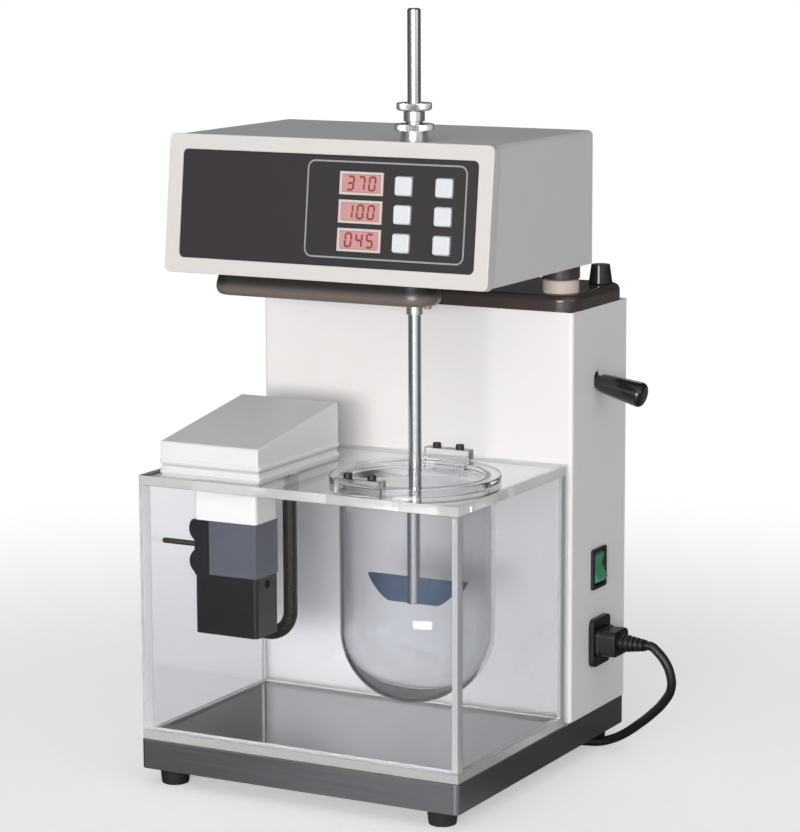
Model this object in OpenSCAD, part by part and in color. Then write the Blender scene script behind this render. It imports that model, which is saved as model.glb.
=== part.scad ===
// Single-vessel dissolution tester: a water bath with one round-bottomed vessel, a column behind it,
// and a stirring head that slides up and down on two posts.
// Origin: bench level, under the middle of the base plate. +X right, +Y back, +Z up. Millimetres.

/* [Base] */
// Width of the base plate
base_w = 262; // [250:1:300]
// Depth of the base plate
base_d = 280; // [270:1:320]
// Thickness of the base plate
base_h = 22; // [14:1:34]
// Radius of the base plate's upright edges
base_corner_r = 4; // [2:0.5:10]
// Height of the rubber feet
foot_h = 12; // [11:0.5:20]
// Diameter of a foot at the bench
foot_d = 20; // [16:1:26]
// Distance of a foot's axis from the side of the base
foot_inset_x = 20; // [16:1:26]
// Distance of a foot's axis from the front or back of the base
foot_inset_y = 15; // [14:1:22]

/* [Bath] */
// Distance of the bath's ends inside the sides of the base
tank_side_inset = 1; // [0:0.5:4]
// Gap between the bath and the column
bath_gap = 8.5; // [6:0.5:14]
// Height from the base plate to the underside of the bath's cover
tank_h = 190; // [180:1:200]
// Thickness of the acrylic plates
acrylic_t = 7; // [5:0.5:9]
// Distance of the bath behind the front edge of the base
tank_front_inset = 1.5; // [0:0.5:6]

/* [Vessel] */
// Outside diameter of the vessel
vessel_od = 107; // [100:0.5:112]
// Wall thickness of the vessel
vessel_wall = 2.5; // [1.5:0.1:4]
// Height of the vessel, from the flange's top to the outside of its round bottom
vessel_h = 167; // [155:1:172]
// Width of the vessel's flange outside its wall
vessel_flange_w = 8.5; // [5:0.5:10]
// Thickness of the vessel's flange
flange_t = 5; // [3:0.5:8]
// Distance of the vessel's flange from the right end of the bath
flange_side_gap = 10; // [5:0.5:14]
// Gap between the vessel and its hole in the cover
vessel_hole_gap = 1; // [0.5:0.1:2]

/* [Flange stops] */
// Length of a flange stop
stop_w = 38; // [26:1:44]
// Height of a flange stop
stop_h = 12; // [8:0.5:16]
// Depth of a flange stop
stop_d = 9.5; // [8:0.5:10]
// Distance of the front stop behind the front of the bath
stop_edge_gap = 1.5; // [0.5:0.5:6]
// Offset of the stops to the left of the stirring axis
stop_offset = 8; // [0:1:16]
// Diameter of a stop screw's head
stop_screw_d = 6.5; // [5:0.5:8]

/* [Thermostat] */
// Width of the thermostat hood
hood_w = 82; // [74:1:86]
// Depth of the thermostat hood
hood_d = 117; // [106:0.5:122]
// Height of the hood at its front
hood_front_h = 16.5; // [12:0.5:24]
// Height of the hood at its back
hood_rear_h = 36.5; // [28:0.5:46]
// Radius of the hood's rear top edge
hood_rear_r = 10; // [5:0.5:14]
// Wall of the hood
hood_wall = 2.5; // [1.5:0.5:4]
// Height of the tray under the hood
tray_h = 7; // [5:0.5:10]
// Height of the groove between tray and hood
tray_groove_h = 1.5; // [1:0.25:3]
// Distance of the hood from the left end of the bath
hood_inset_x = 14; // [10:0.5:20]
// Distance of the hood from the front of the bath
hood_inset_y = 8; // [4:0.5:12]
// Width of the pump block and its neck
pump_w = 52; // [46:1:56]
// Depth of the pump block and its neck
pump_d = 31; // [27:0.5:34]
// Height of the pump block
pump_h = 84; // [80:1:96]
// Height of the white neck between the cover and the pump block
neck_h = 25; // [18:1:34]
// Offset of the pump block to the right of the hood's middle
pump_offset_x = 8; // [4:0.5:9]
// Distance of the pump block from the front of the hood
pump_inset_y = 10.5; // [6:0.5:14]
// Wall of the pump's smoked cover
pump_wall = 2.5; // [1.5:0.5:3]
// Height of the pump's smoked cover
window_h = 40; // [34:1:46]
// Width of the black strip beside the smoked cover
strip_w = 12; // [10:0.5:14]
// Diameter of the heater tube
heater_d = 10.5; // [8:0.5:11]
// Bend radius of the heater tube
heater_bend_r = 18; // [14:1:22]
// Length of the heater tube below the cover
heater_drop = 115; // [104:1:120]
// Diameter of the temperature probe
probe_d = 4; // [3:0.5:5]
// Diameter of the pump impeller
impeller_d = 19; // [15:0.5:20]

/* [Column] */
// Depth of the column
column_d = 96; // [92:1:98]
// Height of the column without its cap
column_h = 309; // [295:1:320]
// Wall of the column's sheet
column_wall = 2; // [1.5:0.25:3]
// Radius of the column's upright edges
column_corner_r = 3; // [2.5:0.5:6]
// Distance of the column's back from the back edge of the base
column_rear_inset = 1; // [0:0.5:4]
// Height of the dark cap
cap_h = 12.5; // [9:0.5:16]
// Radius of the cap's upright edges
cap_corner_r = 16; // [10:1:20]
// Radius of the cap's top edge
cap_edge_r = 5; // [2:0.5:6]

/* [Lift] */
// Diameter of a lift post
post_d = 16; // [12:1:18]
// Length of a lift post below the head
post_len = 276; // [250:1:290]
// Distance of a post's axis from the side of the column
post_from_side = 18; // [17:0.5:24]
// Distance of the posts behind the column's front
post_setback = 18; // [16:0.5:19]
// Diameter of a post bush's flange
bush_d = 27; // [23:1:30]
// Height of a post bush's flange
bush_h = 10; // [6:0.5:12]
// Running clearance of a post in its bush, each side
post_clearance = 0.03; // [0.02:0.01:0.05]
// Distance of the guide plate below the top of the column
guide_drop = 107; // [90:1:115]

/* [Head] */
// Distance of the head's sides inside the sides of the column
head_side_inset = 0.5; // [0:0.25:2]
// Distance of the stirring axis behind the head's lower front edge
head_reach = 32; // [31:0.5:38]
// Height of the head
head_h = 98; // [92:1:106]
// Gap between the column's cap and the head
head_gap = 20.5; // [18:0.5:26]
// Overlap of the head over the column
head_overlap = 34; // [34:0.5:40]
// Lean of the front face
head_lean = 6.65; // [3:0.05:10]
// Wall of the head's cover
head_wall = 2.5; // [1.5:0.25:3.5]
// Radius of the cover's long top edges
head_edge_r = 4; // [3.5:0.5:8]
// Thickness of the head's floor plate
head_floor_t = 3; // [2:0.5:5]
// Depth of the bezel
bezel_depth = 9; // [8.5:0.25:10]
// How far the bezel stands out round the cover
bezel_proud = 1; // [0.5:0.25:2]
// Radius of the bezel's corners
bezel_corner_r = 4.5; // [3:0.5:9]

/* [Panel] */
// Width of the bezel beside the panel
bezel_side = 10.5; // [7:0.5:13]
// Height of the bezel above and below the panel
bezel_bar = 10.1; // [8:0.1:12]
// Radius of the panel's corners
panel_corner_r = 4; // [3:0.5:8]
// Thickness of the panel
panel_t = 2.5; // [2:0.25:4]
// How far the panel lies behind the bezel's front
panel_recess = 2; // [1:0.25:3]
// Distance between the rows of displays and buttons
row_pitch = 20; // [19.5:0.25:21]
// Width of a display frame
display_w = 35; // [28:0.5:40]
// Height of a display frame
display_h = 16.5; // [13:0.5:18]
// Border of a display frame
display_border = 2; // [1:0.25:3]
// Distance of the displays' middle from the right side of the panel
display_from_right = 92.3; // [88:0.1:98]
// Side of a button
button_w = 13.4; // [11:0.1:15]
// Distance of the left button column from the right side of the panel
buttons_from_right = 58.5; // [55:0.5:60]
// Distance between the button columns
button_pitch = 32; // [28:0.5:36]
// How far a button stands out of the panel
button_proud = 2.2; // [1.5:0.1:3]
// Travel of a button
button_travel = 1.2; // [0.8:0.1:1.4]
// Gap between a button and its hole
button_gap = 0.3; // [0.2:0.05:0.5]

/* [Stirrer] */
// Diameter of the stirring rod
rod_d = 9.5; // [9.4:0.1:10]
// Length of the stirring rod
rod_len = 425; // [400:1:450]
// Height of the paddle above the vessel's inside bottom when it works
paddle_gap = 25; // [23:1:27]
// How far the rod is drawn up from its working height
rod_raise = 45; // [40:1:46]
// Length of the paddle's top edge
paddle_w = 75; // [70:0.5:78]
// Height of the paddle
paddle_h = 19; // [17:0.5:21]
// How far the circle of the paddle's ends reaches beyond its top edge
paddle_bulge = 3.5; // [2:0.5:5]
// Thickness of the paddle
paddle_t = 4; // [3:0.5:5]
// Outside diameter of the hollow spindle
spindle_od = 12; // [12:0.5:13]
// Sliding clearance of the rod in the spindle, each side
rod_clearance = 0.03; // [0.02:0.01:0.05]
// Running clearance of the spindle in its bearings, each side
bearing_clearance = 0.03; // [0.02:0.01:0.08]
// Outside diameter of a bearing
bearing_od = 28; // [26:1:32]
// Width of a bearing
bearing_w = 8; // [6:0.5:10]
// Diameter of the chuck's collar
collar_d = 19; // [17:0.5:22]
// Height of the chuck's collar above the head
collar_h = 7.3; // [5:0.1:10]
// Diameter of the chuck's lower disc
disc_d = 28; // [24:0.5:32]
// Height of the chuck's lower disc
disc_h = 6.4; // [4:0.1:8]
// Diameter of the chuck nut's neck
neck_d = 15; // [14.5:0.5:17]
// Height of the chuck nut's neck
neck_len = 7.5; // [5:0.1:10]
// Diameter of the chuck nut's flange
nut_d = 25; // [22:0.5:28]
// Height of the chuck nut's flange
nut_h = 5.4; // [4:0.1:7]

/* [Drive] */
// Radius of the drive housing's round ends
pan_r = 21; // [19:0.5:23]
// Height of the drive housing
pan_h = 18; // [17:0.5:20]
// Radius of the drive housing's lower edge
pan_edge_r = 6; // [4:0.5:7]
// Wall of the drive housing
pan_wall = 2.2; // [1.5:0.1:2.5]
// Distance of the motor's axis from the left side of the head
motor_from_side = 45.5; // [38:0.5:54]
// Diameter of the spindle's pulley
spindle_pulley_d = 26; // [22:0.5:28]
// Diameter of the motor's pulley
motor_pulley_d = 18; // [14:0.5:22]
// Width of the belt
belt_w = 7; // [5:0.5:8]
// Thickness of the belt
belt_t = 1.6; // [1:0.1:2]
// Diameter of the drive motor
motor_d = 36; // [30:1:38]
// Height of the drive motor
motor_h = 62; // [50:1:70]
// Greatest height of the spindle's bearing housing
housing_len = 53; // [40:1:60]

/* [Side fittings] */
// Distance of the lever behind the column's front
lever_setback = 43.7; // [38:0.1:50]
// Distance of the lever's pivot below the top of the column
lever_drop = 55.3; // [48:0.1:64]
// Length of the lever's handle
lever_len = 37.2; // [30:0.1:44]
// Diameter of the handle at its root
lever_root_d = 13.8; // [12:0.1:14.5]
// Diameter of the handle at its end
lever_end_d = 17; // [14:0.5:20]
// Droop of the lever at rest
lever_droop = 12; // [8:0.5:14]
// Distance of the switch behind the column's front
switch_setback = 47; // [44:0.5:56]
// Height of the switch above the base plate
switch_height = 110; // [100:1:125]
// Width of the switch frame
switch_w = 25; // [24:0.5:28]
// Height of the switch frame
switch_h = 31; // [30:0.5:34]
// Tilt of the rocker at rest
rocker_tilt = 10; // [6:0.5:11]
// Distance of the mains inlet behind the column's front
inlet_setback = 47; // [44:0.5:52]
// Height of the mains inlet above the base plate
inlet_height = 54; // [48:1:58]
// Width of the inlet's flange
inlet_w = 31; // [31:0.5:36]
// Height of the inlet's flange
inlet_h = 37; // [33:0.5:42]
// Distance of the knob in front of the column's back
knob_from_back = 17; // [14:0.5:22]
// Distance of the knob from the column's right side
knob_from_side = 14; // [13:0.5:18]
// Diameter of the knob at its foot
knob_d = 18; // [15:0.5:20]
// Diameter of the knob at its top
knob_top_d = 14; // [11:0.5:15]
// Height of the knob
knob_h = 14; // [11:0.5:18]

/* [Cord] */
// Diameter of the mains cord
cord_d = 7; // [6:0.1:7.2]
// Turns of the put-away coil
coil_turns = 4.25; // [4.25:1:5.25]
// Gap between the turns of the coil
coil_air = 0.6; // [0.5:0.1:1.5]
// Radius of the coil where its spiral turns round
coil_inner_r = 36.85; // [30:0.05:40]

/* [Hidden] */
$fn = 64;

// Clearances that several pieces share
seat_gap = 0.2;
loose_gap = 0.3;
stop_gap = 0.5;
cut = 1;

// Widths that follow the base and the vessel
column_w = base_w;
tank_w = base_w - 2 * tank_side_inset;
head_w = column_w - 2 * head_side_inset;
flange_d = vessel_od + 2 * vessel_flange_w;
shaft_x = tank_w / 2 - flange_side_gap - flange_d / 2;
motor_x = -head_w / 2 + motor_from_side;
belt_span = shaft_x - motor_x;
post_x = column_w / 2 - post_from_side;

// Levels, from the bench up
z_deck = foot_h + base_h;
z_cover_bottom = z_deck + tank_h;
z_cover = z_cover_bottom + acrylic_t;
z_flange = z_cover + seat_gap + flange_t;
z_column = z_deck + column_h;
z_cap = z_column + cap_h;
z_head = z_cap + head_gap;
z_head_top = z_head + head_h;
z_pan = z_head - pan_h;

// Depth positions, from the front back
tank_y0 = -base_d / 2 + tank_front_inset;
column_y1 = base_d / 2 - column_rear_inset;
column_y0 = column_y1 - column_d;
shell_y1 = column_y1 - column_wall;
tank_y1 = column_y0 - bath_gap;
shaft_y = tank_y0 + stop_edge_gap + stop_d + stop_gap + flange_d / 2;
head_y0 = shaft_y - head_reach;
head_y1 = column_y0 + head_overlap;
head_d = head_y1 - head_y0;
post_y = column_y0 + post_setback;
face_h = head_h / cos(head_lean);
panel_w = head_w - 2 * bezel_side;
panel_h = face_h - 2 * bezel_bar;

// Rounded rectangle about the origin
module rounded(w, h, r) {
  square([w - 2 * r, h], center = true);
  square([w, h - 2 * r], center = true);
  for (sx = [-1, 1], sy = [-1, 1])
    translate([sx * (w / 2 - r), sy * (h / 2 - r)]) circle(r);
}

// Box from one corner to the other
module box(a, b) {
  translate(a) cube(b - a);
}

// Flat ring
module ring(outer_d, inner_d, h) {
  difference() {
    cylinder(d = outer_d, h = h);
    translate([0, 0, -cut]) cylinder(d = inner_d, h = h + 2 * cut);
  }
}

// Points of an arc about c, from angle a to angle b
function arc(c, r, a, b, steps = 10) =
  [for (i = [0:steps]) c + r * [cos(a + (b - a) * i / steps), sin(a + (b - a) * i / steps)]];

// Places along a hand-chosen or worked-out path, and one closed tube along them
function unit(v) = v / norm(v);
function path_tangent(p, i) = unit(p[min(i + 1, len(p) - 1)] - p[max(i - 1, 0)]);
function square_to(n, t) = unit(n - (n * t) * t);
module tube_along(p, d, sides, first_normal) {
  last = len(p) - 1;
  normals = [for (i = 0, n = square_to(first_normal, path_tangent(p, 0)); i <= last;
                  i = i + 1, n = i <= last ? square_to(n, path_tangent(p, i)) : n) n];
  points = [for (i = [0:last]) for (k = [0:sides - 1])
    let (n = normals[i], b = cross(path_tangent(p, i), n), a = 360 * k / sides)
    p[i] + d / 2 * (cos(a) * n + sin(a) * b)];
  sides_faces = [for (i = [0:last - 1]) for (k = [0:sides - 1])
    let (a = i * sides + k, b = i * sides + (k + 1) % sides)
    for (f = [[a, a + sides, b], [b, a + sides, b + sides]]) f];
  near_cap = [for (k = [1:sides - 2]) [0, k, k + 1]];
  far_cap = [for (k = [1:sides - 2]) [last * sides, last * sides + k + 1, last * sides + k]];
  polyhedron(points, concat(sides_faces, near_cap, far_cap), convexity = 6);
}

// Base

module base_plate() {
  color([0.40, 0.37, 0.38])
    translate([0, 0, foot_h]) linear_extrude(base_h) rounded(base_w, base_d, base_corner_r);
}

module rubber_feet() {
  foot_top_d = foot_d + 2;
  color([0.12, 0.12, 0.12])
    for (sx = [-1, 1], sy = [-1, 1])
      translate([sx * (base_w / 2 - foot_inset_x), sy * (base_d / 2 - foot_inset_y), 0])
        cylinder(d1 = foot_d, d2 = foot_top_d, h = foot_h);
}

// Column

lever_y = column_y0 + lever_setback;
lever_z = z_column - lever_drop;
lever_pivot_x = column_w / 2 - 6;
lever_hole_d = 16;
switch_y = column_y0 + switch_setback;
switch_z = z_deck + switch_height;
switch_body_w = switch_w - 5;
switch_body_h = switch_h - 3;
inlet_y = column_y0 + inlet_setback;
inlet_z = z_deck + inlet_height;
inlet_body_w = inlet_w - 1;
inlet_body_h = inlet_h - 13;
wall_cut_gap = 0.2;

// Plan of the column, its front edges rounded and its back square
module column_plan(extra, back) {
  w = column_w + 2 * extra;
  r = max(column_corner_r + extra, 0.5);
  y0 = column_y0 - extra;
  translate([-w / 2, y0 + r]) square([w, back - y0 - r]);
  translate([-w / 2 + r, y0]) square([w - 2 * r, 2 * r]);
  for (sx = [-1, 1])
    translate([sx * (w / 2 - r), y0 + r]) circle(r);
}

// Straight hole through the column's right wall
module side_hole(y, z) {
  translate([column_w / 2 - column_wall - cut, y, z]) rotate([90, 0, 90]) linear_extrude(column_wall + 2 * cut)
    children();
}

module column_shell() {
  color([0.95, 0.94, 0.93])
    difference() {
      translate([0, 0, z_deck]) linear_extrude(column_h) column_plan(0, shell_y1);
      translate([0, 0, z_deck - cut]) linear_extrude(column_h + 2 * cut)
        column_plan(-column_wall, shell_y1 + cut);
      side_hole(lever_y, lever_z) circle(d = lever_hole_d);
      side_hole(switch_y, switch_z)
        square([switch_body_w + 2 * wall_cut_gap, switch_body_h + 2 * wall_cut_gap], center = true);
      side_hole(inlet_y, inlet_z)
        square([inlet_body_w + 2 * wall_cut_gap, inlet_body_h + 2 * wall_cut_gap], center = true);
    }
}

// Screw places on the back cover
back_screw_x = column_w / 2 - 10;
back_screw_z = [z_deck + 12, z_deck + column_h / 2, z_column - 12];
back_screw_d = 3.4;

module column_back_cover() {
  vent_rows = 6;
  vent_w = 60;
  vent_slot_h = 3;
  vent_pitch = 9;
  color([0.93, 0.92, 0.91])
    difference() {
      box([-column_w / 2, shell_y1, z_deck], [column_w / 2, column_y1, z_column]);
      for (sx = [-1, 1], z = back_screw_z)
        translate([sx * back_screw_x, shell_y1 - cut, z]) rotate([-90, 0, 0])
          cylinder(d = back_screw_d, h = column_wall + 2 * cut);
      for (sx = [-1, 1], i = [0:vent_rows - 1])
        translate([sx * column_w / 5, shell_y1 + column_wall / 2, z_deck + column_h * 0.7 + i * vent_pitch])
          cube([vent_w, column_wall + 2 * cut, vent_slot_h], center = true);
    }
}

module cover_screws() {
  head_d = 7;
  head_t = 2.2;
  color([0.75, 0.75, 0.75])
    for (sx = [-1, 1], z = back_screw_z)
      translate([sx * back_screw_x, shell_y1, z]) rotate([-90, 0, 0]) {
        cylinder(d = back_screw_d - 2 * seat_gap, h = column_wall + head_t);
        translate([0, 0, column_wall]) cylinder(d = head_d, h = head_t);
      }
}

knob_x = column_w / 2 - knob_from_side;
knob_y = column_y1 - knob_from_back;
knob_shaft_d = 6;
knob_clearance = 0.05;
bush_sleeve_d = post_d + 6;
bush_fit = 0.05;

module column_top_cap() {
  color([0.22, 0.18, 0.16])
    difference() {
      translate([0, (column_y0 + column_y1) / 2, 0])
        hull()
          for (sx = [-1, 1], sy = [-1, 1])
            translate([sx * (column_w / 2 - cap_corner_r), sy * (column_d / 2 - cap_corner_r), 0]) {
              translate([0, 0, z_column]) cylinder(r = cap_corner_r, h = cap_h - cap_edge_r, $fn = 32);
              translate([0, 0, z_cap - cap_edge_r]) rotate_extrude($fn = 32)
                translate([cap_corner_r - cap_edge_r, 0]) circle(cap_edge_r, $fn = 24);
            }
      for (sx = [-1, 1])
        translate([sx * post_x, post_y, z_column - cut])
          cylinder(d = bush_sleeve_d + 2 * bush_fit, h = cap_h + 2 * cut);
      translate([knob_x, knob_y, z_column - cut])
        cylinder(d = knob_shaft_d + 2 * knob_clearance, h = cap_h + 2 * cut);
    }
}

module post_bushes() {
  color([0.86, 0.81, 0.78])
    for (sx = [-1, 1])
      translate([sx * post_x, post_y, 0])
        difference() {
          union() {
            translate([0, 0, z_column]) cylinder(d = bush_sleeve_d, h = cap_h);
            translate([0, 0, z_cap]) cylinder(d = bush_d, h = bush_h);
          }
          translate([0, 0, z_column - cut])
            cylinder(d = post_d + 2 * post_clearance, h = cap_h + bush_h + 2 * cut);
        }
}

guide_t = 5;
guide_rim = 0.3;
z_guide = z_column - guide_drop;

module guide_plate() {
  half_w = column_w / 2 - column_wall - guide_rim;
  color([0.62, 0.63, 0.65])
    difference() {
      box([-half_w, column_y0 + column_wall + guide_rim, z_guide],
          [half_w, shell_y1 - guide_rim, z_guide + guide_t]);
      for (sx = [-1, 1])
        translate([sx * post_x, post_y, z_guide - cut])
          cylinder(d = post_d + 2 * post_clearance, h = guide_t + 2 * cut);
    }
}

module transformer() {
  core_w = 70;
  core_d = 26;
  core_h = 58;
  coil_w = 40;
  coil_d = 48;
  coil_h = 40;
  color([0.45, 0.40, 0.36])
    translate([-base_w / 5, (column_y0 + column_y1) / 2, z_deck]) {
      box([-core_w / 2, -core_d / 2, 0], [core_w / 2, core_d / 2, core_h]);
      box([-coil_w / 2, -coil_d / 2, (core_h - coil_h) / 2], [coil_w / 2, coil_d / 2, (core_h + coil_h) / 2]);
    }
}

// Lever: a knuckle on a cross pin, a neck through the wall, and a flared handle
knuckle_d = 8;
knuckle_w = 12;
lever_pin_d = 4;
lever_pin_clearance = 0.04;
lever_neck_d = 10;
handle_start = 8.3;

module lever_bracket() {
  flange_t = 2;
  flange_half = 15;
  ear_t = 2.5;
  ear_half = 6;
  ear_y = knuckle_w / 2 + loose_gap;
  inner_x = column_w / 2 - column_wall;
  color([0.70, 0.70, 0.72])
    difference() {
      union() {
        translate([0, lever_y, lever_z]) {
          box([inner_x - flange_t, -flange_half, -flange_half], [inner_x, flange_half, flange_half]);
          for (s = [-1, 1])
            translate([0, s * (ear_y + ear_t / 2), 0])
              box([lever_pivot_x - ear_half, -ear_t / 2, -ear_half], [inner_x, ear_t / 2, ear_half]);
        }
      }
      translate([inner_x - flange_t - cut, lever_y, lever_z]) rotate([0, 90, 0])
        intersection() {
          cylinder(d = lever_hole_d, h = flange_t + 2 * cut);
          translate([-lever_hole_d, -ear_y, -cut]) cube([2 * lever_hole_d, 2 * ear_y, flange_t + 4 * cut]);
        }
    }
  color([0.70, 0.70, 0.72])
    translate([lever_pivot_x, lever_y, lever_z]) rotate([90, 0, 0])
      cylinder(d = lever_pin_d, h = 2 * (ear_y + ear_t), center = true);
}

// Lever's own frame: the pivot at the origin, the handle along +X
module at_lever() {
  translate([lever_pivot_x, lever_y, lever_z]) rotate([0, lever_droop, 0]) children();
}

module lock_lever() {
  end_r = 4;
  root_r = 2.5;
  color([0.10, 0.10, 0.10])
    at_lever()
      difference() {
        union() {
          rotate([90, 0, 0]) cylinder(d = knuckle_d, h = knuckle_w, center = true);
          rotate([0, 90, 0]) cylinder(d = lever_neck_d, h = handle_start);
          rotate([0, 90, 0]) rotate_extrude()
            polygon(concat(
              [[0, handle_start]],
              arc([lever_root_d / 2 - root_r, handle_start + root_r], root_r, -90, 0, 6),
              arc([lever_end_d / 2 - end_r, handle_start + lever_len - end_r], end_r, 0, 90),
              [[0, handle_start + lever_len]]));
        }
        rotate([90, 0, 0]) cylinder(d = lever_pin_d + 2 * lever_pin_clearance, h = knuckle_w + 2 * cut,
          center = true);
      }
}

module knob_pot() {
  pot_d = 17;
  pot_h = 11;
  shaft_in = 8;
  color([0.30, 0.32, 0.35])
    difference() {
      translate([knob_x, knob_y, z_column - pot_h]) cylinder(d = pot_d, h = pot_h);
      translate([knob_x, knob_y, z_column - shaft_in])
        cylinder(d = knob_shaft_d + 2 * knob_clearance, h = shaft_in + cut);
    }
}

module adjuster_knob() {
  shaft_in = 7;
  flutes = 12;
  flute_d = 2;
  color([0.08, 0.08, 0.09])
    translate([knob_x, knob_y, z_cap])
      difference() {
        union() {
          translate([0, 0, loose_gap]) cylinder(d1 = knob_d, d2 = knob_top_d, h = knob_h);
          translate([0, 0, -cap_h - shaft_in]) cylinder(d = knob_shaft_d, h = cap_h + shaft_in + 1);
        }
        for (i = [0:flutes - 1])
          rotate([0, 0, 360 * i / flutes])
            translate([knob_d / 2 + 0.2, 0, loose_gap + 3]) cylinder(d = flute_d, h = knob_h);
      }
}

// Rocker switch
rocker_pivot_x = column_w / 2 - 4;
rocker_half_w = switch_w / 3;
rocker_side_gap = 0.4;
rocker_end_gap = 1.5;
switch_opening_h = switch_h - 5.2;
trunnion_d = 3;
trunnion_len = (switch_body_w - 2 * rocker_half_w) / 2 - 0.8;
trunnion_clearance = 0.05;
switch_flange_t = 2;

module switch_frame() {
  opening_w = 2 * rocker_half_w + 2 * rocker_side_gap;
  opening_depth = 17;
  body_depth = 22;
  color([0.07, 0.07, 0.07])
    difference() {
      translate([0, switch_y, switch_z]) {
        translate([column_w / 2, 0, 0]) rotate([90, 0, 90])
          linear_extrude(switch_flange_t) rounded(switch_w, switch_h, 2);
        box([column_w / 2 - body_depth, -switch_body_w / 2, -switch_body_h / 2],
            [column_w / 2 + cut, switch_body_w / 2, switch_body_h / 2]);
      }
      translate([column_w / 2 + switch_flange_t - opening_depth, switch_y, switch_z]) rotate([90, 0, 90])
        linear_extrude(opening_depth + cut) square([opening_w, switch_opening_h], center = true);
      translate([rocker_pivot_x, switch_y, switch_z]) rotate([90, 0, 0])
        cylinder(d = trunnion_d + 2 * trunnion_clearance, h = 2 * (rocker_half_w + trunnion_len + 0.2),
          center = true);
    }
}

module switch_rocker() {
  valley = 4;
  rise = 7.2;
  end_slope = 2.4;
  half_h = switch_opening_h / 2 - rocker_end_gap;
  back = 3;
  color([0.20, 0.55, 0.40])
    translate([rocker_pivot_x, switch_y, switch_z]) rotate([0, -rocker_tilt, 0]) rotate([90, 0, 0]) {
      linear_extrude(2 * rocker_half_w, center = true)
        polygon([[valley, 0], [rise, half_h - end_slope], [rise - end_slope, half_h], [-back, half_h],
          [-back, -half_h], [rise - end_slope, -half_h], [rise, end_slope - half_h]]);
      cylinder(d = trunnion_d, h = 2 * (rocker_half_w + trunnion_len), center = true);
    }
}

// Mains inlet and the connector in it: an oblong with two corners cut off
module inlet_outline(w, h) {
  c = 5;
  polygon([[-w / 2, -h / 2], [w / 2, -h / 2], [w / 2, h / 2 - c], [w / 2 - c, h / 2],
           [-w / 2 + c, h / 2], [-w / 2, h / 2 - c]]);
}
inlet_flange_t = 4;
inlet_cavity_w = inlet_w - 4;
inlet_cavity_h = inlet_h - 17;
inlet_depth = 20;
inlet_floor = 2;
blade_y = 7;
blade_t = 2;
blade_h = 5;
blade_len = 14;
plug_in = 17;
x_inlet = column_w / 2 + inlet_flange_t;

// Extrude along +X from the plane at x
module along_x(x, len) {
  translate([x, inlet_y, inlet_z]) rotate([90, 0, 90]) linear_extrude(len) children();
}
module blades(extra) {
  for (i = [-1:1])
    translate([i * blade_y, i == 0 ? 3 : -3]) square([blade_t + extra, blade_h + extra], center = true);
}

module mains_inlet() {
  color([0.09, 0.09, 0.09]) {
    difference() {
      union() {
        along_x(column_w / 2, inlet_flange_t) rounded(inlet_w, inlet_h, 5);
        along_x(column_w / 2 - inlet_depth - inlet_floor, inlet_depth + inlet_floor + cut)
          square([inlet_body_w, inlet_body_h], center = true);
      }
      along_x(column_w / 2 - inlet_depth, inlet_depth + inlet_flange_t + cut)
        inlet_outline(inlet_cavity_w, inlet_cavity_h);
    }
    along_x(column_w / 2 - inlet_depth - inlet_floor / 2, blade_len) blades(0);
  }
}

grip_len = 16;
relief_len = 20;
relief_d = 14;
cord_start_x = x_inlet + loose_gap + grip_len + relief_len;

module mains_connector() {
  ribs = 4;
  color([0.07, 0.07, 0.07]) {
    difference() {
      union() {
        along_x(x_inlet - plug_in, plug_in + 2)
          inlet_outline(inlet_cavity_w - 2 * loose_gap, inlet_cavity_h - 2 * loose_gap);
        along_x(x_inlet + loose_gap, grip_len) rounded(inlet_cavity_w, inlet_cavity_h, 4);
      }
      along_x(x_inlet - plug_in - cut, blade_len + 1) blades(2 * loose_gap);
    }
    translate([x_inlet + loose_gap + grip_len, inlet_y, inlet_z]) rotate([0, 90, 0]) rotate_extrude()
      polygon(concat([[0, -cut]], [[relief_d / 2, -cut], [relief_d / 2, 0]],
        [for (i = [0:ribs - 1]) for (step = [[0, 0.35], [0, 0.6], [-1, 0.6], [-1, 1]])
          [relief_d / 2 + (cord_d / 2 + 1 - relief_d / 2) * (i + step[1]) / ribs + step[0] * 0.6,
           relief_len * (i + step[1]) / ribs]],
        [[0, relief_len]]));
  }
}

// Bath

module tank_floor() {
  color([0.80, 0.86, 0.84, 0.4])
    box([-tank_w / 2, tank_y0, z_deck], [tank_w / 2, tank_y1, z_deck + acrylic_t]);
}

module tank_walls() {
  z0 = z_deck + acrylic_t;
  color([0.80, 0.86, 0.84, 0.4]) {
    box([-tank_w / 2, tank_y0, z0], [tank_w / 2, tank_y0 + acrylic_t, z_cover_bottom]);
    box([-tank_w / 2, tank_y1 - acrylic_t, z0], [tank_w / 2, tank_y1, z_cover_bottom]);
    for (x = [-tank_w / 2, tank_w / 2 - acrylic_t])
      box([x, tank_y0 + acrylic_t, z0], [x + acrylic_t, tank_y1 - acrylic_t, z_cover_bottom]);
  }
}

// Thermostat places
hood_x0 = -tank_w / 2 + hood_inset_x;
hood_y0 = tank_y0 + hood_inset_y;
pump_x0 = hood_x0 + (hood_w - pump_w) / 2 + pump_offset_x;
pump_y0 = hood_y0 + pump_inset_y;
pump_xc = pump_x0 + pump_w / 2;
pump_yc = pump_y0 + pump_d / 2;
z_neck = z_cover_bottom - neck_h;
z_pump = z_neck - pump_h;
heater_edge = 0.5;
heater_x = hood_x0 + hood_w - heater_d / 2 - heater_edge;
heater_y = pump_y0 + pump_d + heater_d / 2 + 10;
neck_hole_gap = 0.5;

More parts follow.
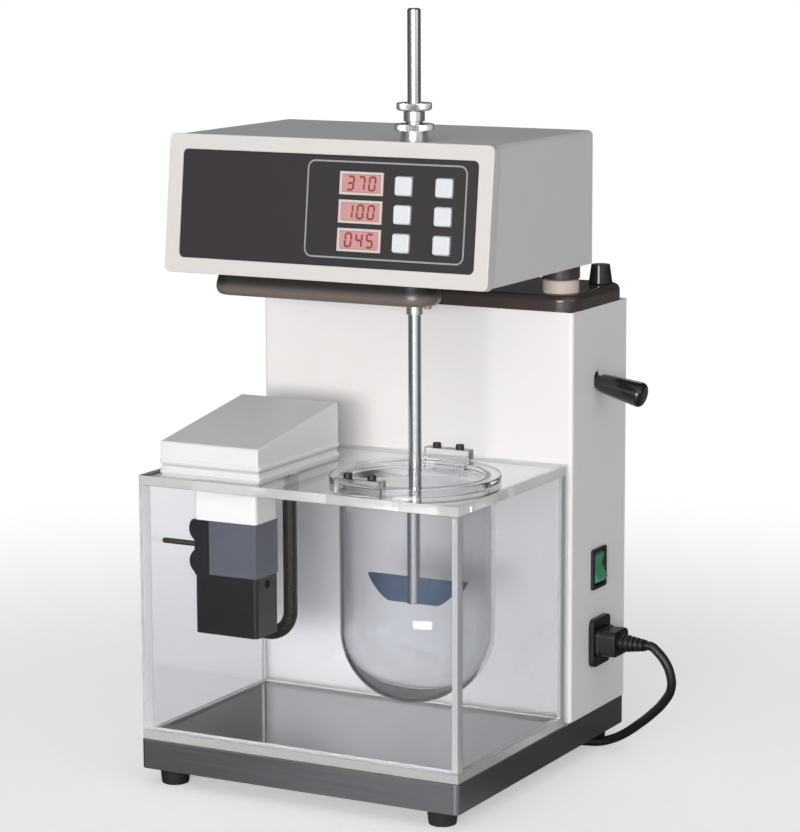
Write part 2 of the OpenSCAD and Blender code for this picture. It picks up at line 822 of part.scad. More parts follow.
module tank_cover() {
  color([0.82, 0.87, 0.86, 0.4])
    difference() {
      box([-tank_w / 2, tank_y0, z_cover_bottom], [tank_w / 2, tank_y1, z_cover]);
      translate([shaft_x, shaft_y, z_cover_bottom - cut])
        cylinder(d = vessel_od + 2 * vessel_hole_gap, h = acrylic_t + 2 * cut);
      box([pump_x0 - neck_hole_gap, pump_y0 - neck_hole_gap, z_cover_bottom - cut],
          [pump_x0 + pump_w + neck_hole_gap, pump_y0 + pump_d + neck_hole_gap, z_cover + cut]);
      translate([heater_x, heater_y, z_cover_bottom - cut])
        cylinder(d = heater_d + 2 * neck_hole_gap, h = acrylic_t + 2 * cut);
      for (p = stop_screw_places)
        translate([p[0], p[1], z_cover - stop_screw_in]) cylinder(d = stop_shank_d + 2 * seat_gap,
          h = stop_screw_in + cut);
    }
}

// Flange stops: one in front of the vessel and one behind it
stop_x = shaft_x - stop_offset;
stop_front_y = shaft_y - flange_d / 2 - stop_gap - stop_d;
stop_back_y = shaft_y + flange_d / 2 + stop_gap;
stop_screw_spread = stop_w / 4;
stop_screw_in = 4;
stop_shank_d = 3;
stop_screw_places = [for (y = [stop_front_y, stop_back_y]) for (s = [-1, 1])
  [stop_x + s * stop_screw_spread, y + stop_d / 2]];

module flange_stops() {
  color([0.85, 0.90, 0.89, 0.4])
    difference() {
      for (y = [stop_front_y, stop_back_y])
        translate([stop_x, y + stop_d / 2, z_cover]) linear_extrude(stop_h) rounded(stop_w, stop_d, 2);
      for (p = stop_screw_places)
        translate([p[0], p[1], z_cover - cut]) cylinder(d = stop_shank_d + 2 * seat_gap, h = stop_h + 2 * cut);
    }
}

module stop_screws() {
  head_t = 3.5;
  color([0.12, 0.11, 0.11])
    for (p = stop_screw_places)
      translate([p[0], p[1], z_cover - stop_screw_in]) {
        cylinder(d = stop_shank_d, h = stop_screw_in + stop_h + 1);
        translate([0, 0, stop_screw_in + stop_h]) cylinder(d = stop_screw_d, h = head_t);
      }
}

// Vessel: a straight wall with a half-round bottom and a flange, turned about the stirring axis
module vessel() {
  ro = vessel_od / 2;
  ri = ro - vessel_wall;
  bend_z = ro - vessel_h;
  color([0.85, 0.92, 0.93, 0.35])
    translate([shaft_x, shaft_y, z_flange])
      rotate_extrude($fn = 96)
        difference() {
          union() {
            translate([0, -flange_t]) square([flange_d / 2, flange_t]);
            translate([0, bend_z]) square([ro, -bend_z]);
            intersection() {
              translate([0, bend_z]) circle(ro);
              translate([0, bend_z - 2 * ro]) square([2 * ro, 4 * ro]);
            }
          }
          translate([-cut, bend_z]) square([ri + cut, cut - bend_z]);
          intersection() {
            translate([0, bend_z]) circle(ri);
            translate([-cut, bend_z - 2 * ro]) square([2 * ro, 2 * ro + cut]);
          }
        }
}

// Thermostat

tray_rim = 1.8;
heater_seat = 4;

module thermostat_tray() {
  color([0.94, 0.93, 0.92])
    difference() {
      union() {
        translate([hood_x0 + hood_w / 2, hood_y0 + hood_d / 2, z_cover])
          linear_extrude(tray_h) rounded(hood_w, hood_d, 3);
        translate([hood_x0 + hood_w / 2, hood_y0 + hood_d / 2, z_cover])
          linear_extrude(tray_h + tray_groove_h) rounded(hood_w - 2 * tray_rim, hood_d - 2 * tray_rim, 2);
        translate([pump_xc, pump_yc, z_neck]) linear_extrude(neck_h + acrylic_t + cut) rounded(pump_w,
          pump_d, 3);
      }
      translate([heater_x, heater_y, z_cover - cut])
        cylinder(d = heater_d + 2 * seat_gap, h = heater_seat + cut);
    }
}

// Side profile of the hood, its front at zero, reaching in by the given wall
module hood_profile(inset, floor_z) {
  front_r = 3;
  slope = atan((hood_rear_h - hood_front_h) / hood_d);
  r1 = max(front_r - inset, 0.5);
  r2 = max(hood_rear_r - inset, 0.5);
  x0 = inset;
  x1 = hood_d - inset;
  drop = inset / cos(slope);
  front_top = hood_front_h - drop + inset * tan(slope);
  rear_top = hood_rear_h - drop - inset * tan(slope);
  t1 = r1 * tan(45 - slope / 2);
  t2 = r2 * tan(45 + slope / 2);
  c1 = [x0 + r1, front_top + r1 * tan(slope) - r1 / cos(slope)];
  c2 = [x1 - r2, rear_top - r2 * tan(slope) - r2 / cos(slope)];
  polygon(concat([[x0, floor_z], [x1, floor_z]],
    arc(c2, r2, 0, 90 + slope), arc(c1, r1, 90 + slope, 180, 5)));
}

module thermostat_hood() {
  z0 = z_cover + tray_h + tray_groove_h;
  color([0.95, 0.94, 0.93])
    translate([hood_x0, hood_y0, z0]) rotate([90, 0, 90])
      difference() {
        linear_extrude(hood_w) hood_profile(0, 0);
        translate([0, 0, hood_wall]) linear_extrude(hood_w - 2 * hood_wall) hood_profile(hood_wall, -cut);
      }
}

// Pump: a black block with a strip up its left side, a wheel chamber below and a hollow smoked cover on it
chamber_d = impeller_d + 3;
chamber_h = 16;
z_split = z_neck - window_h;
strip_x1 = pump_x0 + strip_w;
pump_axis_x = (strip_x1 + pump_x0 + pump_w) / 2;
impeller_shaft_d = 4;
impeller_clearance = 0.05;
shaft_in_motor = 12;
probe_z = z_neck - 19;
probe_y = pump_y0 + 4;
probe_in = 8;

module pump_body() {
  lobe_r = 10;
  lobe_out = 4.4;
  lobe_w = 12;
  outlet_d = 7;
  outlet_drop = 6;
  color([0.08, 0.08, 0.09])
    difference() {
      union() {
        translate([pump_xc, pump_yc, z_pump]) linear_extrude(pump_h - window_h) rounded(pump_w, pump_d, 3);
        box([pump_x0, pump_y0, z_split - cut], [strip_x1, pump_y0 + pump_d, z_neck]);
        for (z = [probe_z - lobe_w, probe_z + lobe_w])
          intersection() {
            translate([pump_x0 + lobe_r - lobe_out, pump_y0, z]) rotate([-90, 0, 0]) cylinder(r = lobe_r,
              h = lobe_w);
            box([pump_x0 - lobe_out - cut, pump_y0 - cut, z_pump], [strip_x1 - cut, pump_y0 + lobe_w + cut,
              z_neck - seat_gap]);
          }
      }
      translate([pump_axis_x, pump_yc, z_pump - cut]) cylinder(d = chamber_d, h = chamber_h + cut);
      translate([pump_axis_x, pump_yc, z_pump]) cylinder(d = impeller_shaft_d + 1, h = pump_h);
      translate([pump_axis_x, pump_yc, z_split - outlet_drop]) rotate([0, 90, 0]) cylinder(d = outlet_d,
        h = pump_w);
      translate([pump_x0 - cut, probe_y, probe_z]) rotate([0, 90, 0])
        cylinder(d = probe_d + 2 * seat_gap, h = probe_in + seat_gap + cut);
    }
}

module pump_window() {
  x0 = strip_x1 + seat_gap;
  x1 = pump_x0 + pump_w;
  y1 = pump_y0 + pump_d;
  color([0.25, 0.24, 0.25, 0.7])
    difference() {
      box([x0, pump_y0, z_split], [x1, y1, z_neck - seat_gap]);
      box([x0 + pump_wall, pump_y0 + pump_wall, z_split - cut], [x1 - pump_wall, y1 - pump_wall,
        z_neck - seat_gap - pump_wall]);
    }
}

module pump_motor() {
  motor_side_gap = 2;
  motor_top_gap = 5;
  color([0.55, 0.55, 0.57])
    translate([pump_axis_x, pump_yc, z_split])
      difference() {
        cylinder(d = pump_d - 2 * pump_wall - 2 * motor_side_gap, h = window_h - pump_wall - motor_top_gap);
        translate([0, 0, -cut])
          cylinder(d = impeller_shaft_d + 2 * impeller_clearance, h = shaft_in_motor + 2 + cut);
      }
}

module pump_impeller() {
  vanes = 6;
  vane_t = 1.6;
  vane_h = 8;
  plate_t = 2;
  below = 3;
  color([0.85, 0.85, 0.83])
    translate([pump_axis_x, pump_yc, z_pump + below]) {
      translate([0, 0, vane_h]) cylinder(d = impeller_d, h = plate_t);
      cylinder(d = impeller_shaft_d, h = z_split - z_pump - below + shaft_in_motor);
      for (i = [0:vanes - 1])
        rotate([0, 0, 360 * i / vanes])
          translate([0, -vane_t / 2, 0]) cube([impeller_d / 2 - 0.5, vane_t, vane_h + plate_t / 2]);
    }
}

module heater_tube() {
  leg = 16;
  straight = heater_drop + acrylic_t + heater_seat - heater_bend_r;
  color([0.09, 0.09, 0.10])
    translate([heater_x, heater_y, z_cover + heater_seat - straight]) {
      cylinder(d = heater_d, h = straight);
      translate([-heater_bend_r, 0, 0]) rotate([-90, 0, 0])
        rotate_extrude(angle = 90) translate([heater_bend_r, 0]) circle(d = heater_d);
      translate([-heater_bend_r, 0, -heater_bend_r]) rotate([0, -90, 0]) {
        cylinder(d = heater_d, h = leg);
        translate([0, 0, leg]) sphere(d = heater_d);
      }
    }
}

module temperature_probe() {
  tip_gap = 0.5;
  len = pump_x0 + probe_in - (-tank_w / 2 + acrylic_t + tip_gap);
  color([0.62, 0.55, 0.50])
    translate([pump_x0 + probe_in - len, probe_y, probe_z]) rotate([0, 90, 0]) cylinder(d = probe_d, h = len);
}

// Head

// Frame of the leaning front: x across, y into the head, z up the face
module on_face() {
  translate([0, head_y0, z_head]) rotate([-head_lean, 0, 0]) children();
}
// Slab of the front, from depth a to depth b, with an outline about a point of the face
module face_slab(a, b, x = 0, z = 0) {
  on_face() translate([x, b, face_h / 2 + z]) rotate([90, 0, 0]) linear_extrude(b - a) children();
}
module front_cutter(depth) {
  span = 2 * (head_w + head_h);
  on_face() translate([-span / 2, depth - span, -span / 2]) cube([span, span, span]);
}

panel_tuck = 1.5;

module head_bezel() {
  color([0.91, 0.89, 0.87])
    difference() {
      face_slab(0, bezel_depth)
        rounded(head_w + 2 * bezel_proud, face_h + 2 * bezel_proud, bezel_corner_r);
      face_slab(-cut, bezel_depth + cut) rounded(panel_w, panel_h, panel_corner_r);
      face_slab(panel_recess, bezel_depth + cut)
        rounded(panel_w + 2 * panel_tuck + 2 * seat_gap, panel_h + 2 * panel_tuck + 2 * seat_gap,
          panel_corner_r + panel_tuck);
    }
}

panel_back = panel_recess + panel_t;
rows = [row_pitch, 0, -row_pitch];
display_x = panel_w / 2 - display_from_right;
button_x = panel_w / 2 - buttons_from_right;
button_places = [for (c = [0, 1]) for (z = rows) [button_x + c * button_pitch, z - 0.5]];

module control_panel() {
  color([0.24, 0.21, 0.23])
    difference() {
      face_slab(panel_recess, panel_back)
        rounded(panel_w + 2 * panel_tuck, panel_h + 2 * panel_tuck, panel_corner_r + panel_tuck);
      for (z = rows)
        face_slab(panel_recess - cut, panel_back + cut, display_x, z)
          square([display_w + 2 * seat_gap, display_h + 2 * seat_gap], center = true);
      for (p = button_places)
        face_slab(panel_recess - cut, panel_back + cut, p[0], p[1])
          square(button_w + 2 * button_gap, center = true);
    }
}

display_proud = 0.8;

module display_frames() {
  color([0.86, 0.78, 0.70])
    for (z = rows)
      difference() {
        face_slab(panel_recess - display_proud, panel_back, display_x, z) square([display_w, display_h],
          center = true);
        face_slab(panel_recess - display_proud - cut, panel_back + cut, display_x, z)
          square([display_w - 2 * display_border, display_h - 2 * display_border], center = true);
      }
}

module display_windows() {
  sunk = 0.5;
  color([0.75, 0.25, 0.25])
    for (z = rows)
      face_slab(panel_recess - display_proud + sunk, panel_back, display_x, z)
        square([display_w - 2 * display_border - 2 * seat_gap,
          display_h - 2 * display_border - 2 * seat_gap], center = true);
}

lip_t = 0.6;
lip_out = 1;
lip_y = panel_back + button_gap;
board_y = lip_y + lip_t + button_travel + loose_gap;
board_t = 1.6;
board_back = board_y + board_t;

module button(i) {
  p = button_places[i];
  color([0.90, 0.90, 0.92]) {
    face_slab(panel_recess - button_proud, lip_y + lip_t / 2, p[0], p[1]) square(button_w, center = true);
    face_slab(lip_y, lip_y + lip_t, p[0], p[1]) square(button_w + 2 * lip_out, center = true);
  }
}
module button_1() { button(0); }
module button_2() { button(1); }
module button_3() { button(2); }
module button_4() { button(3); }
module button_5() { button(4); }
module button_6() { button(5); }

module control_board() {
  motor_gap = 20;
  side_gap = 5;
  end_gap = 7;
  spacer_d = 6;
  spacer_in = 5;
  board_x0 = motor_x + motor_d / 2 + motor_gap;
  board_x1 = panel_w / 2 - side_gap;
  board_w = board_x1 - board_x0;
  board_xc = (board_x0 + board_x1) / 2;
  board_h = panel_h - 2 * end_gap;
  color([0.15, 0.35, 0.22]) {
    face_slab(board_y, board_back, board_xc) square([board_w, board_h], center = true);
    for (sx = [-1, 1], sz = [-1, 1])
      face_slab(panel_back, board_y + board_t / 2, board_xc + sx * (board_w / 2 - spacer_in),
        sz * (board_h / 2 - spacer_in))
        circle(d = spacer_d);
  }
}

chuck_hole_d = collar_d + 2;

// Cross-section of the cover, seen from the front, its two long top edges rounded
module cover_section(w, h, r) {
  translate([-w / 2, 0]) square([w, h - r]);
  translate([-w / 2 + r, 0]) square([w - 2 * r, h]);
  for (sx = [-1, 1])
    translate([sx * (w / 2 - r), h - r]) circle(r);
}

module head_cover() {
  color([0.78, 0.77, 0.76])
    difference() {
      translate([0, head_y1, z_head]) rotate([90, 0, 0]) linear_extrude(head_d)
        cover_section(head_w, head_h, head_edge_r);
      translate([0, head_y1 - head_wall, z_head - cut]) rotate([90, 0, 0]) linear_extrude(head_d)
        cover_section(head_w - 2 * head_wall, head_h - head_wall + cut, max(head_edge_r - head_wall, 0.5));
      front_cutter(bezel_depth);
      translate([shaft_x, shaft_y, z_head_top - head_wall - cut])
        cylinder(d = chuck_hole_d, h = head_wall + 2 * cut);
    }
}

stud_d = 8;
motor_shaft_d = 6;
floor_rim = 0.2;

module head_floor() {
  half_w = head_w / 2 - head_wall - floor_rim;
  color([0.60, 0.60, 0.62])
    difference() {
      box([-half_w, head_y0, z_head], [half_w, head_y1 - head_wall - floor_rim, z_head + head_floor_t]);
      front_cutter(bezel_depth + floor_rim);
      translate([shaft_x, shaft_y, z_head - cut]) cylinder(d = spindle_od + 3, h = head_floor_t + 2 * cut);
      translate([motor_x, shaft_y, z_head - cut]) cylinder(d = motor_shaft_d + 3, h = head_floor_t + 2 * cut);
      for (sx = [-1, 1])
        translate([sx * post_x, post_y, z_head - cut]) cylinder(d = stud_d + 2 * seat_gap,
          h = head_floor_t + 2 * cut);
    }
}

module lift_posts() {
  nut_af = 13;
  nut_t = 6.5;
  stud_out = 2;
  color([0.80, 0.80, 0.82])
    for (sx = [-1, 1])
      translate([sx * post_x, post_y, z_head]) {
        translate([0, 0, -post_len]) cylinder(d = post_d, h = post_len);
        cylinder(d = stud_d, h = head_floor_t + nut_t + stud_out);
        translate([0, 0, head_floor_t]) cylinder(d = nut_af / cos(30), h = nut_t, $fn = 6);
      }
}

module bump_collars() {
  collar_fit = 0.1;
  color([0.18, 0.15, 0.13])
    for (sx = [-1, 1])
      translate([sx * post_x, post_y, z_cap + bush_h + loose_gap])
        ring(bush_d + 1, post_d + 2 * collar_fit, head_gap - bush_h - loose_gap);
}

// Drive housing: a tray with round ends and a rounded lower edge, hung under the head's floor
module pan_half_section(r, h, edge) {
  square([r - edge, h]);
  translate([0, edge]) square([r, h - edge]);
  translate([r - edge, edge]) circle(edge);
}
module pan_solid(r, z0, h, edge) {
  for (x = [motor_x, shaft_x])
    translate([x, shaft_y, z0])
      rotate_extrude() intersection() {
        pan_half_section(r, h, edge);
        square([r, h]);
      }
  translate([motor_x, shaft_y, z0]) rotate([90, 0, 90]) linear_extrude(belt_span)
    for (s = [0, 1]) mirror([s, 0]) pan_half_section(r, h, edge);
}

module drive_housing() {
  color([0.23, 0.19, 0.17])
    difference() {
      pan_solid(pan_r, z_pan, pan_h, pan_edge_r);
      pan_solid(pan_r - pan_wall, z_pan + pan_wall, pan_h, pan_edge_r - pan_wall);
      translate([shaft_x, shaft_y, z_pan - cut]) cylinder(d = spindle_od + 2, h = pan_wall + 2 * cut);
    }
}

motor_boss_in = 12;
// The motor ends where the leaning panel would come too near it
lean_gap = 0.8;
motor_room = head_reach - motor_d / 2 - lean_gap - panel_back / cos(head_lean);
motor_top = min(motor_h, motor_room / tan(head_lean) - head_floor_t);

module drive_motor() {
  cap_t = 6;
  color([0.35, 0.36, 0.38])
    translate([motor_x, shaft_y, z_head + head_floor_t])
      difference() {
        union() {
          cylinder(d = motor_d, h = motor_top - cap_t);
          cylinder(d = motor_d - 8, h = motor_top);
        }
        translate([0, 0, -cut]) cylinder(d = motor_shaft_d + 2 * bearing_clearance,
          h = motor_boss_in + 1 + cut);
      }
}

housing_flange_t = 4;
z_housing = z_head + head_floor_t;
housing_d = bearing_od + 4;
// The housing ends where the leaning control board would come too near it
housing_room = head_reach - housing_d / 2 - lean_gap - board_back / cos(head_lean);
housing_h = min(housing_len, housing_room / tan(head_lean) - head_floor_t);
bearing_fit = 0.05;

module spindle_housing() {
  foot_flange_d = housing_d + 8;
  bearing_d = bearing_od + 2 * bearing_fit;
  color([0.66, 0.67, 0.69])
    translate([shaft_x, shaft_y, z_housing])
      difference() {
        union() {
          cylinder(d = foot_flange_d, h = housing_flange_t);
          cylinder(d = housing_d, h = housing_h);
        }
        translate([0, 0, -cut]) cylinder(d = bearing_d, h = bearing_w + cut);
        translate([0, 0, housing_h - bearing_w]) cylinder(d = bearing_d, h = bearing_w + cut);
        cylinder(d = spindle_od + 6, h = housing_h);
      }
}

module spindle_bearings() {
  color([0.75, 0.75, 0.77])
    for (z = [0, housing_h - bearing_w])
      translate([shaft_x, shaft_y, z_housing + z]) ring(bearing_od, spindle_od + 2 * bearing_clearance,
        bearing_w);
}

// Belt drive inside the housing
belt_gap = 0.3;
flange_out = 1.5;
pulley_side = 1.5;
z_belt = z_head - 2.5 - pulley_side - belt_gap - belt_w;

// Loop round both pulleys, standing out from them; the belt leaves each at the same angle
leave_angle = acos((motor_pulley_d - spindle_pulley_d) / 2 / belt_span);
module belt_loop(out) {
  bends = 20;
  polygon(concat(
    arc([0, 0], motor_pulley_d / 2 + out, leave_angle, 360 - leave_angle, bends),
    arc([belt_span, 0], spindle_pulley_d / 2 + out, -leave_angle, leave_angle, bends)));
}

module drive_belt() {
  color([0.10, 0.10, 0.10])
    translate([motor_x, shaft_y, z_belt]) linear_extrude(belt_w)
      difference() {
        belt_loop(belt_gap + belt_t);
        belt_loop(belt_gap);
      }
}

module pulley(d) {
  cylinder(d = d, h = belt_w + 2 * belt_gap + 2 * pulley_side);
  for (z = [0, belt_w + 2 * belt_gap + pulley_side])
    translate([0, 0, z]) cylinder(d = d + 2 * flange_out, h = pulley_side);
}

module spindle_pulley() {
  pulley_fit = 0.05;
  color([0.72, 0.72, 0.74])
    translate([shaft_x, shaft_y, z_belt - belt_gap - pulley_side])
      difference() {
        pulley(spindle_pulley_d);
        translate([0, 0, -cut]) cylinder(d = spindle_od + 2 * pulley_fit,
          h = belt_w + 2 * pulley_side + 3 * cut);
      }
}

module motor_pulley() {
  color([0.72, 0.72, 0.74])
    translate([motor_x, shaft_y, z_belt - belt_gap - pulley_side]) {
      pulley(motor_pulley_d);
      cylinder(d = motor_shaft_d, h = z_head + head_floor_t + motor_boss_in - z_belt + belt_gap + pulley_side);
    }
}

// Spindle and chuck: a hollow shaft with the chuck's collar, disc and nose on top
spindle_below = 7;
z_collar = z_head_top - head_wall;
z_disc = z_head_top + collar_h;
z_nut = z_disc + disc_h;
nose_d = 12;
nose_len = 6;
nut_gap = 0.3;
thread_clearance = 0.05;
knurls = 40;

module knurl(d, h) {
  notch_d = 1.2;
  for (i = [0:knurls - 1])
    rotate([0, 0, 360 * i / knurls]) translate([d / 2 + 0.35, 0, -cut]) cylinder(d = notch_d,
      h = h + 2 * cut, $fn = 10);
}

module spindle() {
  color([0.82, 0.83, 0.85])
    translate([shaft_x, shaft_y, 0])
      difference() {
        union() {
          translate([0, 0, z_pan - spindle_below]) cylinder(d = spindle_od, h = z_nut - z_pan + spindle_below);
          translate([0, 0, z_collar]) cylinder(d = collar_d, h = z_disc - z_collar + cut);
          translate([0, 0, z_disc]) cylinder(d = disc_d, h = disc_h);
          translate([0, 0, z_nut - cut]) cylinder(d = nose_d, h = nose_len + cut);
        }
        translate([0, 0, z_pan - spindle_below - cut])
          cylinder(d = rod_d + 2 * rod_clearance, h = z_nut + nose_len - z_pan + spindle_below + 2 * cut);
        translate([0, 0, z_disc]) knurl(disc_d, disc_h);
      }
}

module chuck_nut() {
  color([0.84, 0.85, 0.87])
    translate([shaft_x, shaft_y, z_nut + nut_gap])
      difference() {
        union() {
          cylinder(d = neck_d, h = neck_len);
          translate([0, 0, neck_len]) cylinder(d = nut_d, h = nut_h);
        }
        translate([0, 0, -cut]) cylinder(d = nose_d + 2 * thread_clearance, h = nose_len + 0.5 + cut);
        translate([0, 0, -cut]) cylinder(d = rod_d + 2 * loose_gap, h = neck_len + nut_h + 2 * cut);
        translate([0, 0, neck_len]) knurl(nut_d, nut_h);
      }
}

// Rod and paddle
z_paddle = z_flange - vessel_h + vessel_wall + paddle_gap + rod_raise;
slot_gap = 0.05;
paddle_r = paddle_w / 2 + paddle_bulge;

module stirring_rod() {
  tip = 1;
  color([0.78, 0.79, 0.81])
    translate([shaft_x, shaft_y, z_paddle])
      difference() {
        union() {
          cylinder(d = rod_d, h = rod_len - tip);
          translate([0, 0, rod_len - tip]) cylinder(d1 = rod_d, d2 = rod_d - 2 * tip, h = tip);
        }
        translate([0, 0, (paddle_h + slot_gap) / 2 - cut / 2])
          cube([2 * rod_d, paddle_t + 2 * slot_gap, paddle_h + slot_gap + cut], center = true);
      }
}

module paddle_blade() {
  top_drop = sqrt(paddle_r * paddle_r - paddle_w * paddle_w / 4);
  color([0.45, 0.50, 0.56])
    translate([shaft_x, shaft_y + paddle_t / 2, z_paddle]) rotate([90, 0, 0])
      linear_extrude(paddle_t)
        translate([0, paddle_h + top_drop])
          intersection() {
            circle(paddle_r);
            translate([-paddle_r, -top_drop - paddle_h]) square([2 * paddle_r, paddle_h]);
          }
}

// Mains cord: out of the connector in a loop, down to the bench, under the base and out behind it
cord_rest_z = cord_d / 2 + 0.1;
under_y = base_d / 2 - foot_inset_y - foot_d / 2 - 12;
cord_x = base_w / 2 - 71;
// Hand-chosen places of the loop: out from the column, share of the way to the crossing, share of the height
cord_loop = [[50, 0, 0.955], [56, 0, 0.88], [60, 0.04, 0.778], [60.5, 0.12, 0.648], [54, 0.27, 0.517],
  [43, 0.46, 0.386], [30, 0.69, 0.261], [17, 0.96, 0.153], [7, 1.12, 0.091]];
// Hand-chosen places under the base: in from its side, and behind the crossing
cord_under = [[15, 0], [27, -1], [39, -1], [51, 1], [63, 7], [70, 18]];
cord_route = concat(
  [[cord_start_x, inlet_y, inlet_z], [cord_start_x + 4, inlet_y, inlet_z]],
  [for (p = cord_loop) [column_w / 2 + p[0], inlet_y + p[1] * (under_y - inlet_y), inlet_z * p[2]]],
  [[base_w / 2 - 3, under_y + 1.5, cord_rest_z + 1]],
  [for (p = cord_under) [base_w / 2 - p[0], under_y + p[1], cord_rest_z]],
  [for (y = [-5, 10, 35, 51, 58]) [cord_x, base_d / 2 + y, cord_rest_z]]);

module mains_cord() {
  color([0.06, 0.06, 0.07]) tube_along(cord_route, cord_d, 10, [0, 1, 0]);
}

// Coil behind the column: it spirals in on the bench, climbs a layer as it turns round, and spirals out
coil_rings = 24;
coil_lead = 7;
plug_lead = 24;
coil_step = cord_d + coil_air;
coil_mid = coil_turns / 2;
coil_outer_r = coil_inner_r + coil_step * coil_mid;
coil_start = cord_route[len(cord_route) - 1] + [0, coil_lead, 0];
coil_centre = coil_start - [coil_outer_r, 0, 0];
function coil_point(t) =
  let (r = coil_inner_r + coil_step * abs(t - coil_mid),
       climb = min(max((t - coil_mid) * 2 + 0.5, 0), 1))
  coil_centre + [r * cos(360 * t), r * sin(360 * t), coil_step * climb];
coil_steps = round(coil_turns * coil_rings);
coil_end = coil_point(coil_turns);
coil_path = concat(
  [coil_start - [0, coil_lead, 0]],
  [for (i = [0:coil_steps]) coil_point(i * coil_turns / coil_steps)],
  [coil_end - [plug_lead, 0, 0]]);
coil_gap = min([for (i = [0:len(coil_path) - 1]) for (j = [i + coil_rings / 2:1:len(coil_path) - 1])
  norm(coil_path[i] - coil_path[j])]) - cord_d;

module cord_coil() {
  color([0.06, 0.06, 0.07]) tube_along(coil_path, cord_d, 6, [0, 0, 1]);
  echo(coil_gap = coil_gap);
}

// Wall plug at the coil's end, lying on the bench
plug_relief = 12;

module wall_plug() {
  plug_len = 34;
  plug_w = 33;
  plug_h = 2 * (coil_end[2] - 0.2);
  pin_len = 17;
  color([0.07, 0.07, 0.07])
    translate(coil_end - [plug_lead, 0, 0]) rotate([0, -90, 0]) {
      cylinder(d1 = cord_d + 1, d2 = 13, h = plug_relief);
      translate([0, 0, plug_relief - cut])
        hull() {
          linear_extrude(1) rounded(13, 16, 3, $fn = 32);
          translate([0, 0, plug_len - 6]) linear_extrude(6) rounded(plug_h, plug_w, 5, $fn = 32);
        }
      for (p = [[0, -8, 25], [0, 8, -25], [0, 0, 90]])
        translate([p[0], p[1], plug_relief + plug_len - 2]) rotate([0, 0, p[2]])
          translate([-1, -3.2, 0]) cube([2, 6.4, pin_len]);
    }
}

base_plate();
rubber_feet();
column_shell();
column_back_cover();
cover_screws();
column_top_cap();
post_bushes();
guide_plate();
transformer();
lever_bracket();
knob_pot();
switch_frame();
mains_inlet();
tank_floor();
tank_walls();
tank_cover();
flange_stops();
stop_screws();
thermostat_tray();
thermostat_hood();
pump_body();
pump_window();
pump_motor();
heater_tube();
temperature_probe();
pump_impeller();
vessel();
head_bezel();
control_panel();
display_frames();
display_windows();
head_cover();
head_floor();
lift_posts();
bump_collars();
drive_housing();
drive_motor();
control_board();
spindle_housing();
spindle_bearings();
drive_belt();
spindle();
spindle_pulley();
motor_pulley();
chuck_nut();
stirring_rod();
paddle_blade();
button_1();
button_2();
button_3();
button_4();
button_5();
button_6();
switch_rocker();
lock_lever();
adjuster_knob();
mains_connector();
mains_cord();
cord_coil();
wall_plug();
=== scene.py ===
# Single-vessel dissolution tester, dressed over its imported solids.
# Sizes in the sections are millimetres in the part's own frame: origin at bench level under the middle
# of the base, +X right, +Y back, +Z up. Each piece is brought to metres when it is fitted to its body.
import math

import bmesh
import bpy
from mathutils import Matrix, Vector


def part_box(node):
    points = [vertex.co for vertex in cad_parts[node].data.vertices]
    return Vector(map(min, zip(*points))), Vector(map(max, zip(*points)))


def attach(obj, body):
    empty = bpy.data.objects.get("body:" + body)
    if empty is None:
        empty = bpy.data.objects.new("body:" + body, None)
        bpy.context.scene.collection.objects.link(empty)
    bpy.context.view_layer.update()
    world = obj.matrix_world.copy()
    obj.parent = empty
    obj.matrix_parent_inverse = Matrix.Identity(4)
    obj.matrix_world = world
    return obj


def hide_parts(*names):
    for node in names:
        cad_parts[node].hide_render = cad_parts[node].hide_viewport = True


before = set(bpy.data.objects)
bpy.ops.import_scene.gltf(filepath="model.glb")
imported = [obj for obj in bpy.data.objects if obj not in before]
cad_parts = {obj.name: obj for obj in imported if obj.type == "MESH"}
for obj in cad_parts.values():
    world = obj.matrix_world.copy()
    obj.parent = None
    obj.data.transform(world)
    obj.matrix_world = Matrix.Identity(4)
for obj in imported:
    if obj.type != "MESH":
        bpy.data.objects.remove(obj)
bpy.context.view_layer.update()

# Camera
# It stands to the right of the front and a little above the bench instrument, with a long lens.
eye = Vector((1.0760, -1.9766, 0.6500))
aim = Vector((0.0304, -0.0365, 0.2713))
lens = bpy.data.cameras.new("camera")
lens.lens = 133.2
lens.sensor_width = 36
lens.clip_end = 30
camera = bpy.data.objects.new("camera", lens)
camera.location = eye
turn = (aim - eye).to_track_quat("-Z", "Y").to_matrix() @ Matrix.Rotation(math.radians(-0.21), 3, "Z")
camera.rotation_euler = turn.to_euler()
bpy.context.scene.collection.objects.link(camera)
bpy.context.scene.camera = camera

# Studio
# A plain pale floor that runs out into white, a white surround, and wide soft lamps. The main one stands low
# in front, a little to the right, so that fronts are bright while tops and sides fall into soft shade. In
# reflections the floor glows with painted light towards the front right and carries a painted shadow near the
# object.
bpy.context.scene.view_settings.view_transform = "Standard"
world = bpy.data.worlds.new("studio")
bpy.context.scene.world = world
world.use_nodes = True
sky = world.node_tree
sky.nodes.clear()
seen = sky.nodes.new("ShaderNodeLightPath")


def light_math(tree, operation, first, second):
    """One sum on the light path's values; the second may be a plain number."""
    step = tree.nodes.new("ShaderNodeMath")
    step.operation = operation
    tree.links.new(first, step.inputs[0])
    if isinstance(second, (int, float)):
        step.inputs[1].default_value = second
    else:
        tree.links.new(second, step.inputs[1])
    return step.outputs["Value"]


def straight_view(tree, path):
    """One where the eye sees a thing straight or through clear pieces, and nought for light on the object."""
    looked = light_math(tree, "MAXIMUM", path.outputs["Is Camera Ray"], path.outputs["Is Transmission Ray"])
    bounces = light_math(tree, "ADD", path.outputs["Diffuse Depth"], path.outputs["Glossy Depth"])
    return light_math(tree, "MULTIPLY", looked, light_math(tree, "LESS_THAN", bounces, 0.5))


